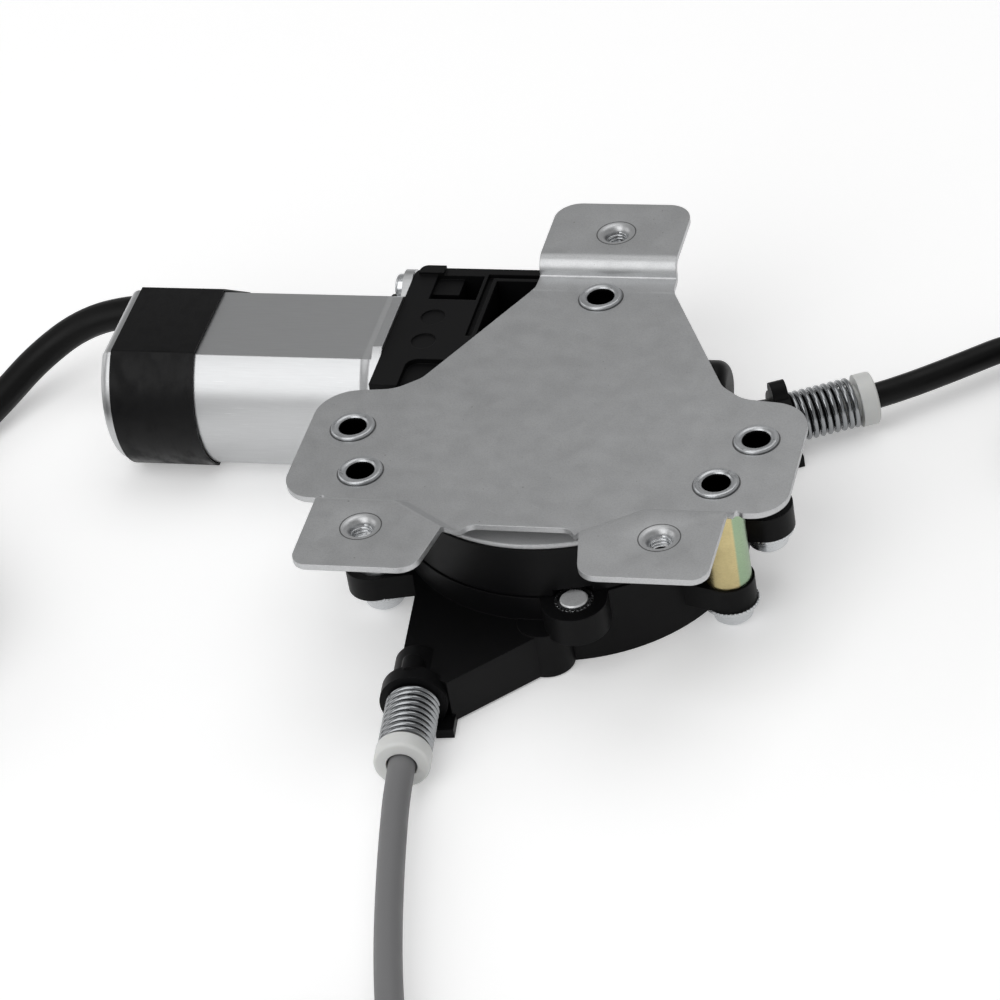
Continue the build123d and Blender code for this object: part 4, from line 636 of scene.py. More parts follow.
@dataclass(frozen=True)
class BrushedCan(Finish):
    """Deep-drawn steel can with clear zinc: satin, with faint draw lines along its axis.

    Attributes:
        line_mm: width of one draw line.
        flare_mm: where the wall turns out into the flange, as x from and to.
    """

    line_mm: float = 0.3
    flare_mm: tuple[float, float] = (-54.6, -52.0)

    def dress(self, coat: Coat) -> None:
        """Draw lines in the colour and the relief, a grain in the gloss, and long scratches.

        Args:
            coat: the material in the making.
        """
        lines = coat.noise(self.line_mm, stretch=(24.0, 1.0, 1.0), detail=3.0)
        ends = srgb(self.colour, shade=0.965), srgb(self.colour, shade=1.015)
        colour = coat.between(lines, (0.35, 0.65), ends)
        marks = coat.scratches(width_mm=0.14, length_mm=16.0, turn=0.02, level=0.75)
        coat.feed("Base Color", coat.tint(colour, marks, "f4f5f6", strength=0.35))
        coat.gloss(coat.noise(grain_mm=0.25), self.roughness - 0.04, self.roughness + 0.05)
        along = add_node(coat.tree, "ShaderNodeSeparateXYZ", {"Vector": coat.place}).outputs["X"]
        start, end = (part * MM for part in self.flare_mm)
        inputs = {"Value": along, "From Min": start, "From Max": end}
        flare = add_node(
            coat.tree, "ShaderNodeMapRange", inputs, interpolation_type="SMOOTHSTEP"
        ).outputs[0]
        turned = coat.relief(flare, depth_mm=0.8)
        coat.feed("Normal", coat.relief(lines, depth_mm=0.0018, normal=turned))


@dataclass(frozen=True)
class MouldedNylon(Finish):
    """Glass-filled nylon from a spark-eroded mould: near black, with a fine even grain.

    Attributes:
        sheen: strength of its mirror part, 0.5 for a plain plastic and less for a filled one.
        grain_mm: size of one pit of the mould's texture.
    """

    sheen: float = 0.5
    grain_mm: float = 0.28

    def dress(self, coat: Coat) -> None:
        """Slow flow marks in the gloss, and the mould's grain in the relief.

        Args:
            coat: the material in the making.
        """
        coat.shader.inputs["Specular IOR Level"].default_value = self.sheen
        flow = coat.noise(grain_mm=14.0, stretch=(1.0, 2.5, 1.0))
        coat.gloss(flow, self.roughness - 0.07, self.roughness + 0.08)
        coat.feed("Normal", coat.relief(coat.noise(self.grain_mm), depth_mm=0.012))


@dataclass(frozen=True)
class ClearMoulding(Finish):
    """Natural nylon or acetal: white and slightly see-through, so that light spreads inside it.

    Attributes:
        depth_mm: how far light travels in the material.
        share: how much of the light goes in.
    """

    depth_mm: float = 1.2
    share: float = 0.35

    def dress(self, coat: Coat) -> None:
        """Light that scatters under the skin, and a faint uneven gloss.

        Args:
            coat: the material in the making.
        """
        coat.shader.inputs["Subsurface Weight"].default_value = self.share
        coat.shader.inputs["Subsurface Radius"].default_value = (1.0, 0.95, 0.85)
        coat.shader.inputs["Subsurface Scale"].default_value = self.depth_mm * MM
        coat.gloss(coat.noise(grain_mm=3.0), self.roughness - 0.06, self.roughness + 0.06)
        coat.feed("Normal", coat.normal)


@dataclass(frozen=True)
class ExtrudedSheath(Finish):
    """Extruded plastic sheath of a cable: even colour, with a soft sheen and slight waviness.

    Attributes:
        sheen: strength of its mirror part, low because handling dulls it.
    """

    sheen: float = 0.15

    def dress(self, coat: Coat) -> None:
        """Slow waviness in the gloss, and handling marks in the relief.

        Args:
            coat: the material in the making.
        """
        coat.shader.inputs["Specular IOR Level"].default_value = self.sheen
        coat.gloss(coat.noise(grain_mm=5.0), self.roughness - 0.07, self.roughness + 0.08)
        coat.feed("Normal", coat.relief(coat.noise(grain_mm=0.6), depth_mm=0.006))


@dataclass(frozen=True)
class VinylTape(Finish):
    """Stretched vinyl tape: black, with pulled wrinkles and thumbed patches.

    Attributes:
        sheen: strength of its mirror part.
        pebble_share: height of its fine pebble beside that of its wrinkles.
    """

    sheen: float = 0.15
    pebble_share: float = 0.08

    def dress(self, coat: Coat) -> None:
        """Dull thumbed patches in the gloss, and wrinkles across the wrap over a fine pebble.

        Args:
            coat: the material in the making.
        """
        coat.shader.inputs["Specular IOR Level"].default_value = self.sheen
        thumbed = coat.noise(grain_mm=4.0, stretch=(1.0, 1.6, 1.6), detail=4.0)
        coat.gloss(thumbed, self.roughness - 0.06, self.roughness + 0.22, levels=(0.38, 0.62))
        pulled = coat.noise(grain_mm=2.4, stretch=(1.0, 7.0, 7.0))
        pebble = coat.noise(grain_mm=0.35, detail=1.0)
        inputs = {0: pebble, 1: self.pebble_share, 2: pulled}
        both = add_node(coat.tree, "ShaderNodeMath", inputs, operation="MULTIPLY_ADD").outputs[0]
        coat.feed("Normal", coat.relief(both, depth_mm=0.06))


@dataclass(frozen=True)
class WireRope(Finish):
    """Galvanised rope of fine strands that wind round it.

    Attributes:
        strand_mm: width of one strand.
        bands: strands in one unit of the wave.
        lay: how the strands are turned, in radians about each axis.
    """

    strand_mm: float = 0.5
    bands: float = 6.0
    lay: Point = (0.6, 0.5, 0.7)

    def dress(self, coat: Coat) -> None:
        """Strands drawn as slanting waves in the relief.

        Args:
            coat: the material in the making.
        """
        scale = (1.0 / (self.strand_mm * MM * self.bands),) * 3
        inputs = {"Vector": coat.place, "Rotation": self.lay, "Scale": scale}
        turned = add_node(coat.tree, "ShaderNodeMapping", inputs)
        inputs = {"Vector": turned.outputs[0], "Scale": self.bands}
        wave = add_node(coat.tree, "ShaderNodeTexWave", inputs, wave_type="BANDS")
        coat.feed("Normal", coat.relief(wave.outputs["Fac"], depth_mm=0.08))


@dataclass(frozen=True)
class Palette:
    """Every finish of the unit, by the piece or stuff that it is for.

    Each has its name, colour and roughness, how metallic it is, and its softened edge in
    millimetres, and then what it has of its own.
    """

    sheet: Finish = ZincPlatedSheet("zinc_plated_sheet", "c2c3c4", 0.4, 1.0, 0.25)
    cover: Finish = ZincPlatedSheet(
        "dulled_zinc_cover", "c4c5c6", 0.55, 0.3, 0.2, punched=(), seated=()
    )
    plug: Finish = ZincPlatedSheet(
        "rubbed_zinc_plug", "e0e1e2", 0.4, 0.4, 0.15, blotch_mm=2.0, punched=(), seated=()
    )
    bright: Finish = TurnedZinc("bright_zinc_turned", "cfd1d3", 0.24, 1.0, 0.15)
    spring: Finish = TurnedZinc("zinc_spring_wire", "9a9c9e", 0.2, 1.0, 0.05)
    ground: Finish = TurnedZinc("ground_steel", "b9bbbd", 0.22, 1.0, 0.1)
    copper: Finish = TurnedZinc("bare_copper", "c98963", 0.28, 1.0, 0.05)
    tinned: Finish = TurnedZinc("tinned_brass", "cfcdc4", 0.3, 1.0, 0.08)
    sleeve: Finish = RolledSleeve("rolled_zinc_sleeve", "bcbec0", 0.34, 1.0, 0.15)
    chromate: Finish = YellowChromate("yellow_zinc_chromate", "d3c391", 0.3, 1.0, 0.12)
    can: Finish = BrushedCan("drawn_zinc_can", "c2c3c4", 0.34, 1.0, 0.3)
    nylon: Finish = MouldedNylon("black_glass_filled_nylon", "0c0c0d", 0.46, 0.0, 0.3, sheen=0.12)
    rubber: Finish = MouldedNylon("black_moulded_rubber", "121212", 0.62, 0.0, 0.3, 0.3, 0.3)
    bronze: Finish = MouldedNylon("sintered_bronze", "8c6a3a", 0.5, 1.0, 0.1)
    carbon: Finish = MouldedNylon("pressed_carbon", "26262a", 0.5, 0.0, 0.1)
    ferrite: Finish = MouldedNylon("sintered_ferrite", "35353a", 0.48, 0.0, 0.2)
    board: Finish = MouldedNylon("phenolic_board", "5f3d24", 0.5, 0.0, 0.1)
    white: Finish = ClearMoulding("white_natural_nylon", "dcdddb", 0.38, 0.0, 0.25)
    acetal: Finish = ClearMoulding("cream_acetal", "d8d4c4", 0.36, 0.0, 0.12)
    grey_sheath: Finish = ExtrudedSheath("grey_pvc_sheath", "7b7b7c", 0.45, 0.0, 0.2)
    black_sheath: Finish = ExtrudedSheath("black_pvc_sheath", "111111", 0.4, 0.0, 0.2)
    tape: Finish = VinylTape("black_vinyl_tape", "0c0c0d", 0.34, 0.0, 0.2)
    rope: Finish = WireRope("galvanised_wire_rope", "a9adb0", 0.35, 1.0, 0.05)
    enamel: Finish = WireRope("enamelled_copper_wire", "8f4a22", 0.3, 1.0, 0.1)
    iron: Finish = Finish("silicon_steel_laminations", "6f6f72", 0.45, 1.0, 0.1)


PALETTE = Palette()


# dressing of CAD nodes


@dataclass
class CadDresser:
    """Gives CAD nodes their finishes, and makes smooth copies of the ones that show.

    Attributes:
    """

    frame: dict

    WELD = 0.002 * MM

    def finish(self, finish: Finish, *nodes: str) -> None:
        """Give CAD nodes a finish and leave their meshes alone.

        Args:
            finish: the finish that they get.
            *nodes: the nodes' names.
        """
        for name in nodes:
            assign(self.frame["nodes"][name], finish.make())
            LOG.info("finished %s as %s", name, finish.name)

    def skin(self, node: str, finish: Finish, slot: str, angle: float = 32.0) -> bpy.types.Object:
        """Replace a CAD node by a welded copy of it that is shaded smooth.

        Args:
            node: the CAD node's name.
            finish: the finish of the copy.
            slot: the record's material slot that it belongs to; not used.
            angle: edges sharper than this many degrees stay crisp.

        Returns:
            The copy, which rides on the node's body.
        """
        source = self.frame["nodes"][node]
        bm = bmesh.new()
        bm.from_mesh(source.data)
        bmesh.ops.remove_doubles(bm, verts=bm.verts[:], dist=self.WELD)
        made = mesh_object(node + "_skin", bm)
        smooth_by_angle(made, angle)
        assign(made, finish.make())
        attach(made, source["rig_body"])
        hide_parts(node)
        LOG.info("skinned %s", node)
        return made


# geometry-node trees for what follows a rule


def open_tree(
    name: str, sizes: Sequence[str], counts: Sequence[str] = ()
) -> tuple[bpy.types.NodeTree, bpy.types.NodeOutputs]:
    """Begin a geometry node tree with named inputs.

    Args:
        name: the tree's name.
        sizes: names of its inputs that may be any number.
        counts: names of its inputs that are whole numbers.

    Returns:
        The tree, and the sockets that its inputs come from.
    """
    tree = bpy.data.node_groups.new(name, "GeometryNodeTree")
    face = tree.interface
    face.new_socket("Geometry", in_out="OUTPUT", socket_type="NodeSocketGeometry")
    for label in sizes:
        face.new_socket(label, in_out="INPUT", socket_type="NodeSocketFloat")
    for label in counts:
        face.new_socket(label, in_out="INPUT", socket_type="NodeSocketInt")
    return tree, add_node(tree, "NodeGroupInput").outputs


def close_tree(
    tree: bpy.types.NodeTree, shape: bpy.types.NodeSocket, material: bpy.types.Material
) -> None:
    """End a geometry node tree with real geometry of one material.

    Args:
        tree: the tree to end.
        shape: the geometry's socket.
        material: the material that all of it gets.
    """
    real = add_node(tree, "GeometryNodeRealizeInstances", {"Geometry": shape})
    inputs = {"Geometry": real.outputs[0], "Material": material}
    dressed = add_node(tree, "GeometryNodeSetMaterial", inputs)
    add_node(tree, "NodeGroupOutput", {"Geometry": dressed.outputs[0]})


@dataclass(frozen=True)
class WireForm:
    """A wire wound into a coil with closed ends, along +X from the origin, in millimetres.

    Attributes:
        mean_radius: radius of the wire's own line.
        wire_radius: half the wire's thickness.
        length: length over both ends.
        turns: all its turns.
        dead_turns: the turns at each end that lie on each other.
    """

    mean_radius: float
    wire_radius: float
    length: float
    turns: float
    dead_turns: float

    LABELS = ("Mean Radius", "Wire Radius", "Length", "Turns", "Dead Turns")
    STEPS = 320
    WIRE_SIDES = 12
    # each step: its result, the operation, and what it works on; "along" runs from 0 to 1
    PATH = (
        ("whole turn", "MULTIPLY", "Turns", 2 * math.pi),
        ("turn", "MULTIPLY", "along", "whole turn"),
        ("share", "DIVIDE", "Dead Turns", "Turns"),
        ("both shares", "MULTIPLY", "share", 2.0),
        ("open share", "SUBTRACT", 1.0, "both shares"),
        ("past first end", "SUBTRACT", "along", "share"),
        ("opening", "DIVIDE", "past first end", "open share"),
        ("begun", "MAXIMUM", "opening", 0.0),
        ("opened", "MINIMUM", "begun", 1.0),
        ("wire", "MULTIPLY", "Wire Radius", 2.0),
        ("dead length", "MULTIPLY", "wire", "Dead Turns"),
        ("both ends", "MULTIPLY", "dead length", 2.0),
        ("between ends", "SUBTRACT", "Length", "both ends"),
        ("free length", "SUBTRACT", "between ends", "wire"),
        ("dead rise", "DIVIDE", "dead length", "share"),
        ("in first end", "MINIMUM", "along", "share"),
        ("first", "MULTIPLY", "in first end", "dead rise"),
        ("last begins", "SUBTRACT", 1.0, "share"),
        ("past middle", "SUBTRACT", "along", "last begins"),
        ("in last end", "MAXIMUM", "past middle", 0.0),
        ("last", "MULTIPLY", "in last end", "dead rise"),
        ("dead way", "ADD", "first", "last"),
        ("free way", "MULTIPLY", "opened", "free length"),
        ("way", "ADD", "dead way", "free way"),
        ("X", "ADD", "way", "Wire Radius"),
        ("cosine", "COSINE", "turn"),
        ("Y", "MULTIPLY", "cosine", "Mean Radius"),
        ("sine", "SINE", "turn"),
        ("Z", "MULTIPLY", "sine", "Mean Radius"),
    )

    def sizes(self) -> dict[str, float]:
        """The tree's named inputs, in metres and turns."""
        lengths = [part * MM for part in (self.mean_radius, self.wire_radius, self.length)]
        return dict(zip(self.LABELS, (*lengths, self.turns, self.dead_turns)))

    def tree(self, name: str, material: bpy.types.Material) -> bpy.types.NodeTree:
        """Make the tree that winds the wire.

        Args:
            name: the tree's name.
            material: the wire's material.

        Returns:
            The geometry node group, with sizes as named inputs.
        """
        tree, given = open_tree(name, self.LABELS)
        ends = {"Start": (0, 0, 0), "End": (1, 0, 0)}
        line = add_node(tree, "GeometryNodeCurvePrimitiveLine", ends)
        inputs = {"Curve": line.outputs["Curve"], "Count": self.STEPS}
        fine = add_node(tree, "GeometryNodeResampleCurve", inputs)
        values = {label: given[label] for label in self.LABELS}
        values["along"] = add_node(tree, "GeometryNodeSplineParameter").outputs["Factor"]
        for result, operation, *parts in self.PATH:
            inputs = {slot: values.get(part, part) for slot, part in enumerate(parts)}
            made = add_node(tree, "ShaderNodeMath", inputs, operation=operation)
            values[result] = made.outputs[0]
        place = add_node(tree, "ShaderNodeCombineXYZ", {axis: values[axis] for axis in "XYZ"})
        inputs = {"Geometry": fine.outputs["Curve"], "Position": place.outputs[0]}
        moved = add_node(tree, "GeometryNodeSetPosition", inputs)
        inputs = {"Resolution": self.WIRE_SIDES, "Radius": given["Wire Radius"]}
        round_wire = add_node(tree, "GeometryNodeCurvePrimitiveCircle", inputs, mode="RADIUS")
        inputs = {
            "Curve": moved.outputs["Geometry"],
            "Profile Curve": round_wire.outputs["Curve"],
            "Fill Caps": True,
        }
        tube = add_node(tree, "GeometryNodeCurveToMesh", inputs)
        smooth = add_node(tree, "GeometryNodeSetShadeSmooth", {"Geometry": tube.outputs["Mesh"]})
        close_tree(tree, smooth.outputs["Geometry"], material)
        return tree


@dataclass(frozen=True)
class ToothRing:
    """Small teeth that stand in a ring about +Z, as on a locking flange, in millimetres.

    Attributes:
        radius: distance of the teeth's middles from the axis.
        depth: size of one tooth outwards.
        width: its size along the ring.
        height: its size along the axis.
        count: number of teeth.
    """

    radius: float
    depth: float
    width: float
    height: float
    count: int

    LABELS = ("Ring Radius", "Depth", "Width", "Height")
    CREST = 0.35
    FOOT = 0.7071

    def sizes(self) -> dict[str, float | int]:
        """The tree's named inputs, in metres."""
        lengths = (self.radius, self.depth, self.width, self.height)
        named = {label: part * MM for label, part in zip(self.LABELS, lengths)}
        return named | {"Count": self.count}

    def tree(self, name: str, material: bpy.types.Material) -> bpy.types.NodeTree:
        """Make the tree that stands the teeth.

        Args:
            name: the tree's name.
            material: the teeth's material.

        Returns:
            The geometry node group, with sizes as named inputs.
        """
        tree, given = open_tree(name, self.LABELS, ("Count",))
        inputs = {"Vertices": given["Count"], "Radius": given["Ring Radius"]}
        circle = add_node(tree, "GeometryNodeMeshCircle", inputs)
        inputs = {"Vertices": 4, "Radius Top": self.CREST, "Radius Bottom": self.FOOT, "Depth": 1.0}
        tooth = add_node(tree, "GeometryNodeMeshCone", inputs)
        inputs = {"Geometry": tooth.outputs["Mesh"], "Rotation": (0.0, 0.0, math.pi / 4)}
        squared = add_node(tree, "GeometryNodeTransform", inputs)
        inputs = {"Vector": add_node(tree, "GeometryNodeInputPosition").outputs[0]}
        outward = add_node(
            tree, "FunctionNodeAlignRotationToVector", inputs, axis="X", pivot_axis="Z"
        )
        inputs = {"X": given["Depth"], "Y": given["Width"], "Z": given["Height"]}
        size = add_node(tree, "ShaderNodeCombineXYZ", inputs)
        inputs = {
            "Points": circle.outputs["Mesh"],
            "Instance": squared.outputs["Geometry"],
            "Rotation": outward.outputs[0],
            "Scale": size.outputs[0],
        }
        placed = add_node(tree, "GeometryNodeInstanceOnPoints", inputs)
        close_tree(tree, placed.outputs["Instances"], material)
        return tree


def bake_tree(
    name: str,
    tree: bpy.types.NodeTree,
    sizes: dict[str, float | int],
    place: Matrix,
) -> bpy.types.Object:
    """Run a geometry node tree and keep its result as a plain mesh on the housing.

    Args:
        name: the new object's name.
        tree: the node group to run.
        sizes: the group's named inputs.
        place: where the result goes in the row frame.

    Returns:
        The object at the origin, with its place in its mesh.
    """
    carrier = add_object(name + "_carrier", bpy.data.meshes.new(name + "_carrier"))
    modifier = carrier.modifiers.new("tree", "NODES")
    modifier.node_group = tree
    for item in tree.interface.items_tree:
        if item.in_out == "INPUT":
            modifier[item.identifier] = sizes[item.name]
    graph = bpy.context.evaluated_depsgraph_get()
    mesh = bpy.data.meshes.new_from_object(carrier.evaluated_get(graph))
    bpy.data.objects.remove(carrier)
    mesh.name = name
    mesh.transform(place)
    made = add_object(name, mesh)
    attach(made, HOUSING)
    LOG.info("made %s", name)
    return made


# cords


@dataclass
class FreeCord:
    """One free cord: its seen route, its stored coil and its tail, as one smooth line.

    Attributes:
        name: the piece's name.
        radius: half its diameter, in metres.
        route: the seen route's points in the row frame, in millimetres.
        coil_radius: radius of the middle of the coil's turns, in millimetres.
        turns: turns of the coil.
        nodes: the CAD nodes that it stands for.
        finish: its sheath's finish.
        slot: the record's material slot; not used.
        with_nodes: the CAD nodes on its end; not used.
        end_height: height of the cord's middle where its end piece takes it, in millimetres.
        tail_turn: degrees beyond the whole turns at which it leaves its coil.
        far_end: what its far end holds; not used.
        stiffness: how stiff the real one is; not used.
    """

    name: str
    radius: float
    route: list[Point]
    coil_radius: float
    turns: int
    nodes: tuple[str, ...]
    finish: Finish
    slot: str
    with_nodes: tuple[str, ...]
    end_height: float
    tail_turn: float
    far_end: FarEnd
    stiffness: Stiffness

    TURN_STEPS = 16
    LINE_STEPS = 8
    ROUND_STEPS = 5
    LIFT = 1.02
    COMES_DOWN = 0.86
    SWELL = 0.012
    SWELL_RATE = 5.1

    def lay_out(self) -> list[Point]:
        """Join the route, the coil's turns and the tail.

        Each turn lies LIFT thicknesses over the last and swells a little out and in, and past
        COMES_DOWN of the sweep the cord comes down to the floor again.

        Returns:
            The points of the whole line, in millimetres.
        """
        points = list(self.route)
        (x0, y0, _), (x1, y1, z1) = self.route[-2:]
        heading = math.atan2(y1 - y0, x1 - x0)
        centre = (
            x1 + self.coil_radius * math.sin(heading),
            y1 - self.coil_radius * math.cos(heading),
        )
        start = heading + math.pi / 2
        sweep = 2 * math.pi * self.turns + math.radians(self.tail_turn)
        steps = int(self.TURN_STEPS * sweep / (2 * math.pi))
        rise = 2 * self.radius / MM * self.LIFT
        for number in range(1, steps):
            share = number / steps
            bearing = start - sweep * share
            up = min(share * sweep / (2 * math.pi), self.turns) * rise
            if share > self.COMES_DOWN:
                up *= (1 - share) / (1 - self.COMES_DOWN)
            swell = 1.0 + self.SWELL * math.sin(self.SWELL_RATE * share * self.turns)
            reach = self.coil_radius * swell
            x = centre[0] + reach * math.cos(bearing)
            y = centre[1] + reach * math.sin(bearing)
            points.append((x, y, z1 + up))
        heights = (self.radius / MM, self.end_height)
        return points + tail_points(centre, self.coil_radius, start - sweep, heights)

    def build(self) -> bpy.types.Object:
        """Make the cord's curve.

        Returns:
            The curve object, which rides on the housing.
        """
        points = self.lay_out()
        data = bpy.data.curves.new(self.name, "CURVE")
        data.dimensions = "3D"
        data.bevel_depth = self.radius
        data.bevel_resolution = self.ROUND_STEPS
        data.resolution_u = self.LINE_STEPS
        data.use_fill_caps = True
        spline = data.splines.new("NURBS")
        spline.points.add(len(points) - 1)
        for target, (x, y, z) in zip(spline.points, points):
            target.co = (x * MM, y * MM, z * MM, 1.0)
        spline.order_u = 3
        spline.use_endpoint_u = True
        spline.resolution_u = self.LINE_STEPS
        made = add_object(self.name, data)
        data.materials.append(self.finish.make())
        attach(made, HOUSING)
        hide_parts(*self.nodes)
        return made

    def declare(self, made: bpy.types.Object) -> None:
        """Do nothing with the cord.

        Args:
            made: the curve that build() returned; not used.
        """


def tail_points(
    centre: Spot, mean: float, bearing: float, heights: tuple[float, float]
) -> list[Point]:
    """The points of a cord's last bit, which leaves its coil and rises to its end piece.

    Args:
        centre: the coil's centre in millimetres.
        mean: the coil's mean radius.
        bearing: direction from the centre at which it leaves the coil, in radians.
        heights: height of the cord's middle where it lies on the floor, and at its end piece.

    Returns:
        Three points: where it leaves the coil, and the ends of two equal runs.
    """
    run, bend = 20.0, math.radians(14.0)
    x = centre[0] + mean * math.cos(bearing)
    y = centre[1] + mean * math.sin(bearing)
    heading = bearing - math.pi / 2
    points = [(x, y, heights[0])]
    for turned in (0.0, bend):
        x += run * math.cos(heading + turned)
        y += run * math.sin(heading + turned)
        points.append((x, y, heights[1]))
    return points


# the studio


@dataclass(frozen=True)
class SoftBox:
    """One lamp with a rectangular face.

    Attributes:
        name: the lamp's name.
        place: its middle in the row frame, in metres.
        aim: the point that it faces, in metres.
        wide: its width in metres.
        tall: its height in metres.
        watts: its power.
    """

    name: str
    place: Point
    aim: Point
    wide: float
    tall: float
    watts: float

    def hang(self) -> None:
        """Put the lamp into the scene."""
        data = bpy.data.lights.new(self.name, "AREA")
        data.shape = "RECTANGLE"
        data.size = self.wide
        data.size_y = self.tall
        data.energy = self.watts
        made = add_object(self.name, data)
        made.location = self.place
        look = Vector(self.aim) - Vector(self.place)
        made.rotation_mode = "QUATERNION"
        made.rotation_quaternion = look.to_track_quat("-Z", "Y")


@dataclass
class StudioStage:
    """The photograph's camera, a pale floor that keeps the object's shadow, and soft lamps.

    Attributes:
        eye: the camera's place in the row frame, in millimetres.
        right: the camera's own +X in the row frame.
        up: the camera's own +Y.
        forward: the way it looks.
        lens_mm: its focal length.
        sensor_mm: the width of its sensor.
        reach: the nearest and the farthest that it sees, in metres.
        floor_reach: half the floor's side, in metres.
        floor_glow: what the floor adds to its own light so that it shows white.
        boxes: the lamps: a tall one in front, one overhead and one at the left.
        room: the world's greys by the height of the way that a ray goes.
        room_strength: the world's strength.
    """

    eye: Point = (242.49, -733.37, 610.07)
    right: Point = (0.96360264, 0.22854132, -0.13870405)
    up: Point = (-0.03525797, 0.62294249, 0.78147267)
    forward: Point = (-0.26500345, 0.7481387, -0.60832693)
    lens_mm: float = 150.87
    sensor_mm: float = 36.0
    reach: tuple[float, float] = (0.05, 20.0)
    floor_reach: float = 3.0
    floor_glow: float = 0.28
    boxes: tuple[SoftBox, ...] = (
        SoftBox("front_box", (-0.36, -0.84, 0.95), (0.0, 0.0, 0.0), 1.0, 1.6, 7.7),
        SoftBox("overhead_box", (0.15, 0.45, 1.35), (0.0, 0.0, 0.0), 1.1, 1.1, 4.3),
        SoftBox("left_box", (-1.3, 0.1, 0.7), (0.0, 0.0, 0.02), 0.8, 0.8, 1.8),
    )
    room: tuple[tuple[float, Colour], ...] = (
        (0.0, grey(0.95)),
        (0.2, grey(0.9)),
        (0.5, grey(0.5)),
        (1.0, grey(0.45)),
    )
    room_strength: float = 0.63

    def build(self) -> None:
        """Make the camera, floor, lamps and world."""
        self._camera()
        self._floor()
        for box in self.boxes:
            box.hang()
        self._world()
        LOG.info("built the studio")

    def _camera(self) -> None:
        """Place the camera by its axes."""
        data = bpy.data.cameras.new("photo_camera")
        data.lens = self.lens_mm
        data.sensor_width = self.sensor_mm
        data.clip_start, data.clip_end = self.reach
        made = add_object("photo_camera", data)
        back = tuple(-part for part in self.forward)
        turned = Matrix((self.right, self.up, back)).transposed().to_4x4()
        made.matrix_world = Matrix.Translation(Vector(self.eye) * MM) @ turned
        bpy.context.scene.camera = made

    def _floor(self) -> None:
        """A wide sheet of white paper, which keeps the object's shadow.

        It glows a little for the camera and for mirrored rays, so that it shows white there,
        and dull surfaces get no light from that glow.
        """
        bm = bmesh.new()
        bmesh.ops.create_grid(bm, x_segments=1, y_segments=1, size=self.floor_reach)
        made = mesh_object("studio_floor", bm)
        material = blank_material("white_paper_sweep")
        tree = material.node_tree
        rays = add_node(tree, "ShaderNodeLightPath").outputs
        shown: bpy.types.NodeSocket | float = 0.0
        for ray in ("Is Camera Ray", "Is Glossy Ray", "Is Transmission Ray"):
            inputs = {0: rays[ray], 1: shown}
            step = add_node(tree, "ShaderNodeMath", inputs, operation="ADD", use_clamp=True)
            shown = step.outputs[0]
        inputs = {0: shown, 1: self.floor_glow}
        glow = add_node(tree, "ShaderNodeMath", inputs, operation="MULTIPLY")
        inputs = {
            "Base Color": srgb("fafafa"),
            "Roughness": 0.9,
            "Emission Color": srgb("ffffff"),
            "Emission Strength": glow.outputs[0],
        }
        shader = add_node(tree, "ShaderNodeBsdfPrincipled", inputs)
        add_node(tree, "ShaderNodeOutputMaterial", {"Surface": shader.outputs["BSDF"]})
        assign(made, material)

    def _world(self) -> None:
        """A grey room that is white at the horizon and darker overhead, as round a light table."""
        world = bpy.data.worlds.new("studio_room")
        bpy.context.scene.world = world
        world.use_nodes = True
        tree = world.node_tree
        tree.nodes.clear()
        way = add_node(tree, "ShaderNodeTexCoord").outputs["Generated"]
        height = add_node(tree, "ShaderNodeSeparateXYZ", {"Vector": way}).outputs["Z"]
        walls = add_node(tree, "ShaderNodeValToRGB", {"Fac": height}, self.room)
        inputs = {"Color": walls.outputs["Color"], "Strength": self.room_strength}
        shown = add_node(tree, "ShaderNodeBackground", inputs)
        add_node(tree, "ShaderNodeOutputWorld", {"Surface": shown.outputs[0]})
        bpy.context.scene.view_settings.view_transform = "Standard"


# the sub-assemblies


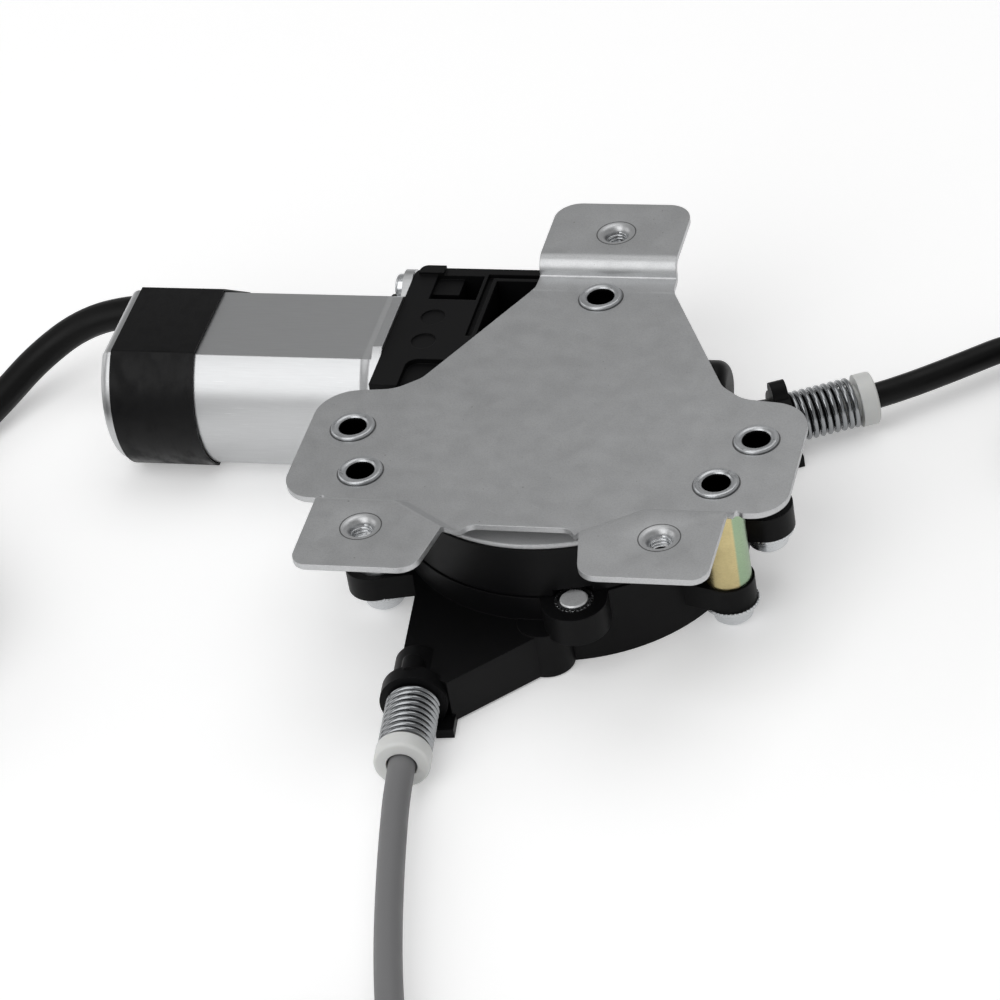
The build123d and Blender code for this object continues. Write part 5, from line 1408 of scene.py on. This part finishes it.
@dataclass
class PlateGroup:
    """The pressed mounting plate, and the standoffs and screws that hold it.

    Attributes:
        dresser: what gives CAD nodes their finishes.
        thread: the crest of a tapped hole's thread.
        thread_bottom: height at which the threads begin, in millimetres.
        flange_teeth: the locking teeth under a screw's flange.
        low_flange: height of the teeth of the drum's and the rear screws.
        side_flange: height of the teeth of the side screws.
        insert_teeth: the moulded teeth round the front insert.
        insert_spot: the middle of that ring.
    """

    dresser: CadDresser
    thread: WireForm = WireForm(2.5, 0.26, 3.0, turns=3.0, dead_turns=0.05)
    thread_bottom: float = 38.6
    flange_teeth: ToothRing = ToothRing(6.2, 0.5, 0.5, 0.62, count=40)
    low_flange: float = 5.25
    side_flange: float = 13.75
    insert_teeth: ToothRing = ToothRing(4.15, 0.55, 0.42, 0.3, count=30)
    insert_spot: Point = (10.2, -40.4, 18.72)

    def build(self) -> None:
        """Dress the plate, cover, standoffs and screws, and add threads and serrations."""
        skin = self.dresser.skin
        skin("mount_plate", PALETTE.sheet, "zinc_plate", angle=25.0)
        skin("gear_cover", PALETTE.cover, "zinc_plate", angle=25.0)
        for name in ("left_standoff", "rear_standoff", "side_standoffs"):
            skin(name, PALETTE.sleeve, "zinc_clear")
        skin("right_standoff", PALETTE.chromate, "zinc_yellow")
        for name in ("drum_ear_screws", "side_ear_screws", "rear_screw"):
            skin(name, PALETTE.bright, "zinc_clear")
        skin("insert_plug", PALETTE.plug, "zinc_clear")
        skin("front_insert", PALETTE.bright, "zinc_clear")
        self._threads()
        self._serrations()
        LOG.info("built the plate group")

    def _threads(self) -> None:
        """Wind the thread's crest inside each tapped hole."""
        tree = self.thread.tree("tapped_thread", PALETTE.bright.make())
        upright = Matrix.Rotation(-math.pi / 2, 4, "Y")
        for side, (x, y) in TAPPED_HOLES.items():
            place = Matrix.Translation(Vector((x, y, self.thread_bottom)) * MM) @ upright
            bake_tree(side + "_tap_thread", tree, self.thread.sizes(), place)

    def _serrations(self) -> None:
        """Stand the locking teeth round each screw's flange, and the moulded ones."""
        teeth = self.flange_teeth
        tree = teeth.tree("tooth_ring", PALETTE.bright.make())
        for name, (x, y) in SLEEVES.items():
            height = self.side_flange if name.endswith("side") else self.low_flange
            place = Matrix.Translation(Vector((x, y, height)) * MM)
            bake_tree(name + "_screw_teeth", tree, teeth.sizes(), place)
        teeth = self.insert_teeth
        tree = teeth.tree("moulded_rim", PALETTE.nylon.make())
        place = Matrix.Translation(Vector(self.insert_spot) * MM)
        bake_tree("front_insert_teeth", tree, teeth.sizes(), place)


@dataclass
class HousingGroup:
    """The two black mouldings and what is hidden between them.

    Attributes:
        dresser: what gives CAD nodes their finishes.
    """

    dresser: CadDresser

    def build(self) -> None:
        """Dress the housings and the drive train."""
        skin = self.dresser.skin
        skin("gear_housing", PALETTE.nylon, "black_nylon", angle=28.0)
        skin("drum_housing", PALETTE.nylon, "black_nylon", angle=28.0)
        finish = self.dresser.finish
        finish(PALETTE.acetal, "worm_wheel", "drum")
        finish(PALETTE.rubber, "wheel_damper")
        finish(PALETTE.ground, "driver_hub", "spindle", "spindle_washer")
        finish(PALETTE.rope, "rope_wraps", "inner_ropes")
        LOG.info("built the housings and the drive train")


@dataclass
class MotorGroup:
    """The motor: its can, tape, screws and the parts inside.

    Attributes:
        dresser: what gives CAD nodes their finishes.
    """

    dresser: CadDresser

    def build(self) -> None:
        """Dress the motor."""
        skin = self.dresser.skin
        skin("motor_can", PALETTE.can, "can_steel", angle=25.0)
        skin("can_tape", PALETTE.tape, "tape_black", angle=40.0)
        skin("motor_screws", PALETTE.bright, "zinc_clear")
        skin("lead_grommet", PALETTE.rubber, "rubber_black")
        finish = self.dresser.finish
        finish(PALETTE.ferrite, "magnets")
        finish(PALETTE.ground, "armature_shaft", "thrust_balls")
        finish(PALETTE.iron, "armature_core")
        finish(PALETTE.enamel, "armature_windings")
        finish(PALETTE.copper, "commutator")
        finish(PALETTE.board, "brush_card")
        finish(PALETTE.carbon, "brushes")
        finish(PALETTE.bronze, "rear_bush", "front_bush", "end_bush")
        LOG.info("built the motor")


@dataclass(frozen=True)
class Outlet:
    """One cable outlet of the drum housing, along its heading.

    Attributes:
        way: which of the two it is.
        base: the face that the spring bears on, in millimetres.
        heading_deg: the way that the cable leaves, from +X.
    """

    way: Way
    base: Point
    heading_deg: float

    def place(self, along_mm: float) -> Matrix:
        """Say where a piece that is drawn along +X goes.

        Args:
            along_mm: how far it begins from the outlet's face, in millimetres.

        Returns:
            A matrix from the piece's own metres to the row frame.
        """
        turned = Matrix.Rotation(math.radians(self.heading_deg), 4, "Z")
        start = Matrix.Translation(Vector(self.base) * MM)
        return start @ turned @ Matrix.Translation((along_mm * MM, 0.0, 0.0))

    def axis(self) -> Point:
        """The unit vector that the cable leaves along."""
        angle = math.radians(self.heading_deg)
        return math.cos(angle), math.sin(angle), 0.0


@dataclass
class AdjusterGroup:
    """The two spring-loaded cable adjusters.

    Attributes:
        dresser: what gives CAD nodes their finishes.
        outlets: the two outlets.
        spring: the spring of both.
        spring_start: how far past the outlet's face it begins, in millimetres.
        travel: how far a ferrule slides in, in millimetres; not used.
    """

    dresser: CadDresser
    outlets: tuple[Outlet, ...] = (
        Outlet(Way.FRONT, (-22.9, -64.0, 7.5), -83.0),
        Outlet(Way.SIDE, (42.3, 42.1, 7.5), 26.2),
    )
    spring: WireForm = WireForm(5.5, 0.7, 16.5, turns=9.0, dead_turns=1.1)
    spring_start: float = 1.5
    travel: float = 5.0

    def build(self) -> None:
        """Wind both springs and dress both ferrules."""
        spring = self.spring
        tree = spring.tree("coil_spring", PALETTE.spring.make())
        for outlet in self.outlets:
            way = outlet.way.value
            name = way + "_spring"
            place = outlet.place(self.spring_start)
            made = bake_tree(name + "_wire", tree, spring.sizes(), place)
            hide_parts(name)
            outlet.axis()
            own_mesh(made)
            self.dresser.skin(way + "_ferrule", PALETTE.white, "white_nylon")
            LOG.info("built the %s adjuster", way)


@dataclass
class CordGroup:
    """The two conduits and the motor's lead.

    Attributes:
        dresser: what gives CAD nodes their finishes.
    """

    dresser: CadDresser

    def cords(self) -> tuple[FreeCord, ...]:
        """Work out the three cords.

        Returns:
            The front conduit, the side conduit and the lead.
        """
        front = FreeCord(
            name="front_conduit_sheath",
            radius=3.1 * MM,
            route=[
                (-21.06, -78.99, 7.5),
                (-19.4, -92.8, 7.5),
                (-16.4, -108.7, 7.5),
                (-12.9, -125.0, 7.5),
                (-9.0, -141.5, 7.5),
                (-4.6, -157.5, 7.2),
                (0.4, -173.0, 5.4),
                (5.0, -186.6, 3.1),
                (8.2, -200.2, 3.1),
            ],
            coil_radius=31.5,
            turns=2,
            nodes=("front_conduit", "front_conduit_coil"),
            finish=PALETTE.grey_sheath,
            slot="sheath_grey",
            with_nodes=("front_end_cap", "front_rope_end"),
            end_height=5.7,
            tail_turn=140.0,
            far_end=FarEnd.FITTING,
            stiffness=Stiffness.STIFF,
        )
        side = FreeCord(
            name="side_conduit_sheath",
            radius=3.1 * MM,
            route=[
                (55.85, 48.77, 7.5),
                (62.49, 52.04, 7.5),
                (71.7, 58.0, 7.5),
                (82.1, 65.9, 7.5),
                (92.0, 74.1, 7.3),
                (104.8, 80.4, 5.3),
                (119.8, 83.0, 3.1),
                (134.6, 81.2, 3.1),
            ],
            coil_radius=31.5,
            turns=2,
            nodes=("side_conduit", "side_conduit_coil"),
            finish=PALETTE.black_sheath,
            slot="sheath_black",
            with_nodes=("side_end_cap", "side_rope_end"),
            end_height=5.7,
            tail_turn=100.0,
            far_end=FarEnd.FITTING,
            stiffness=Stiffness.STIFF,
        )
        lead = FreeCord(
            name="motor_lead_sleeve",
            radius=4.0 * MM,
            route=[
                (-49.6, 62.9, 20.2),
                (-68.0, 62.9, 20.3),
                (-88.0, 62.9, 20.2),
                (-108.0, 62.9, 20.3),
                (-126.0, 63.1, 19.8),
                (-140.3, 61.6, 16.6),
                (-151.5, 53.9, 10.8),
                (-158.6, 42.6, 6.0),
                (-164.5, 29.6, 4.0),
                (-166.0, 14.0, 4.0),
                (-161.0, -4.0, 4.0),
                (-151.5, -21.0, 4.0),
                (-143.0, -38.0, 4.0),
            ],
            coil_radius=40.5,
            turns=2,
            nodes=("motor_lead", "motor_lead_coil"),
            finish=PALETTE.black_sheath,
            slot="sheath_black",
            with_nodes=("lead_plug", "plug_blades"),
            end_height=4.9,
            tail_turn=220.0,
            far_end=FarEnd.PLUG,
            stiffness=Stiffness.MEDIUM,
        )
        return front, side, lead

    def build(self) -> None:
        """Lay the cords and dress what is on their ends."""
        for cord in self.cords():
            cord.declare(cord.build())
        self.dresser.finish(PALETTE.bright, "front_end_cap", "side_end_cap")
        self.dresser.finish(PALETTE.rope, "front_rope_end", "side_rope_end")
        self.dresser.finish(PALETTE.rubber, "lead_plug")
        self.dresser.finish(PALETTE.tinned, "plug_blades")


def main() -> None:
    """Build the scene in order and report each piece."""
    logging.basicConfig(level=logging.INFO, format="%(name)s: %(message)s")
    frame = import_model()
    StudioStage().build()
    dresser = CadDresser(frame)
    CordGroup(dresser).build()
    AdjusterGroup(dresser).build()
    PlateGroup(dresser).build()
    HousingGroup(dresser).build()
    MotorGroup(dresser).build()


if __name__ == "__main__":
    main()
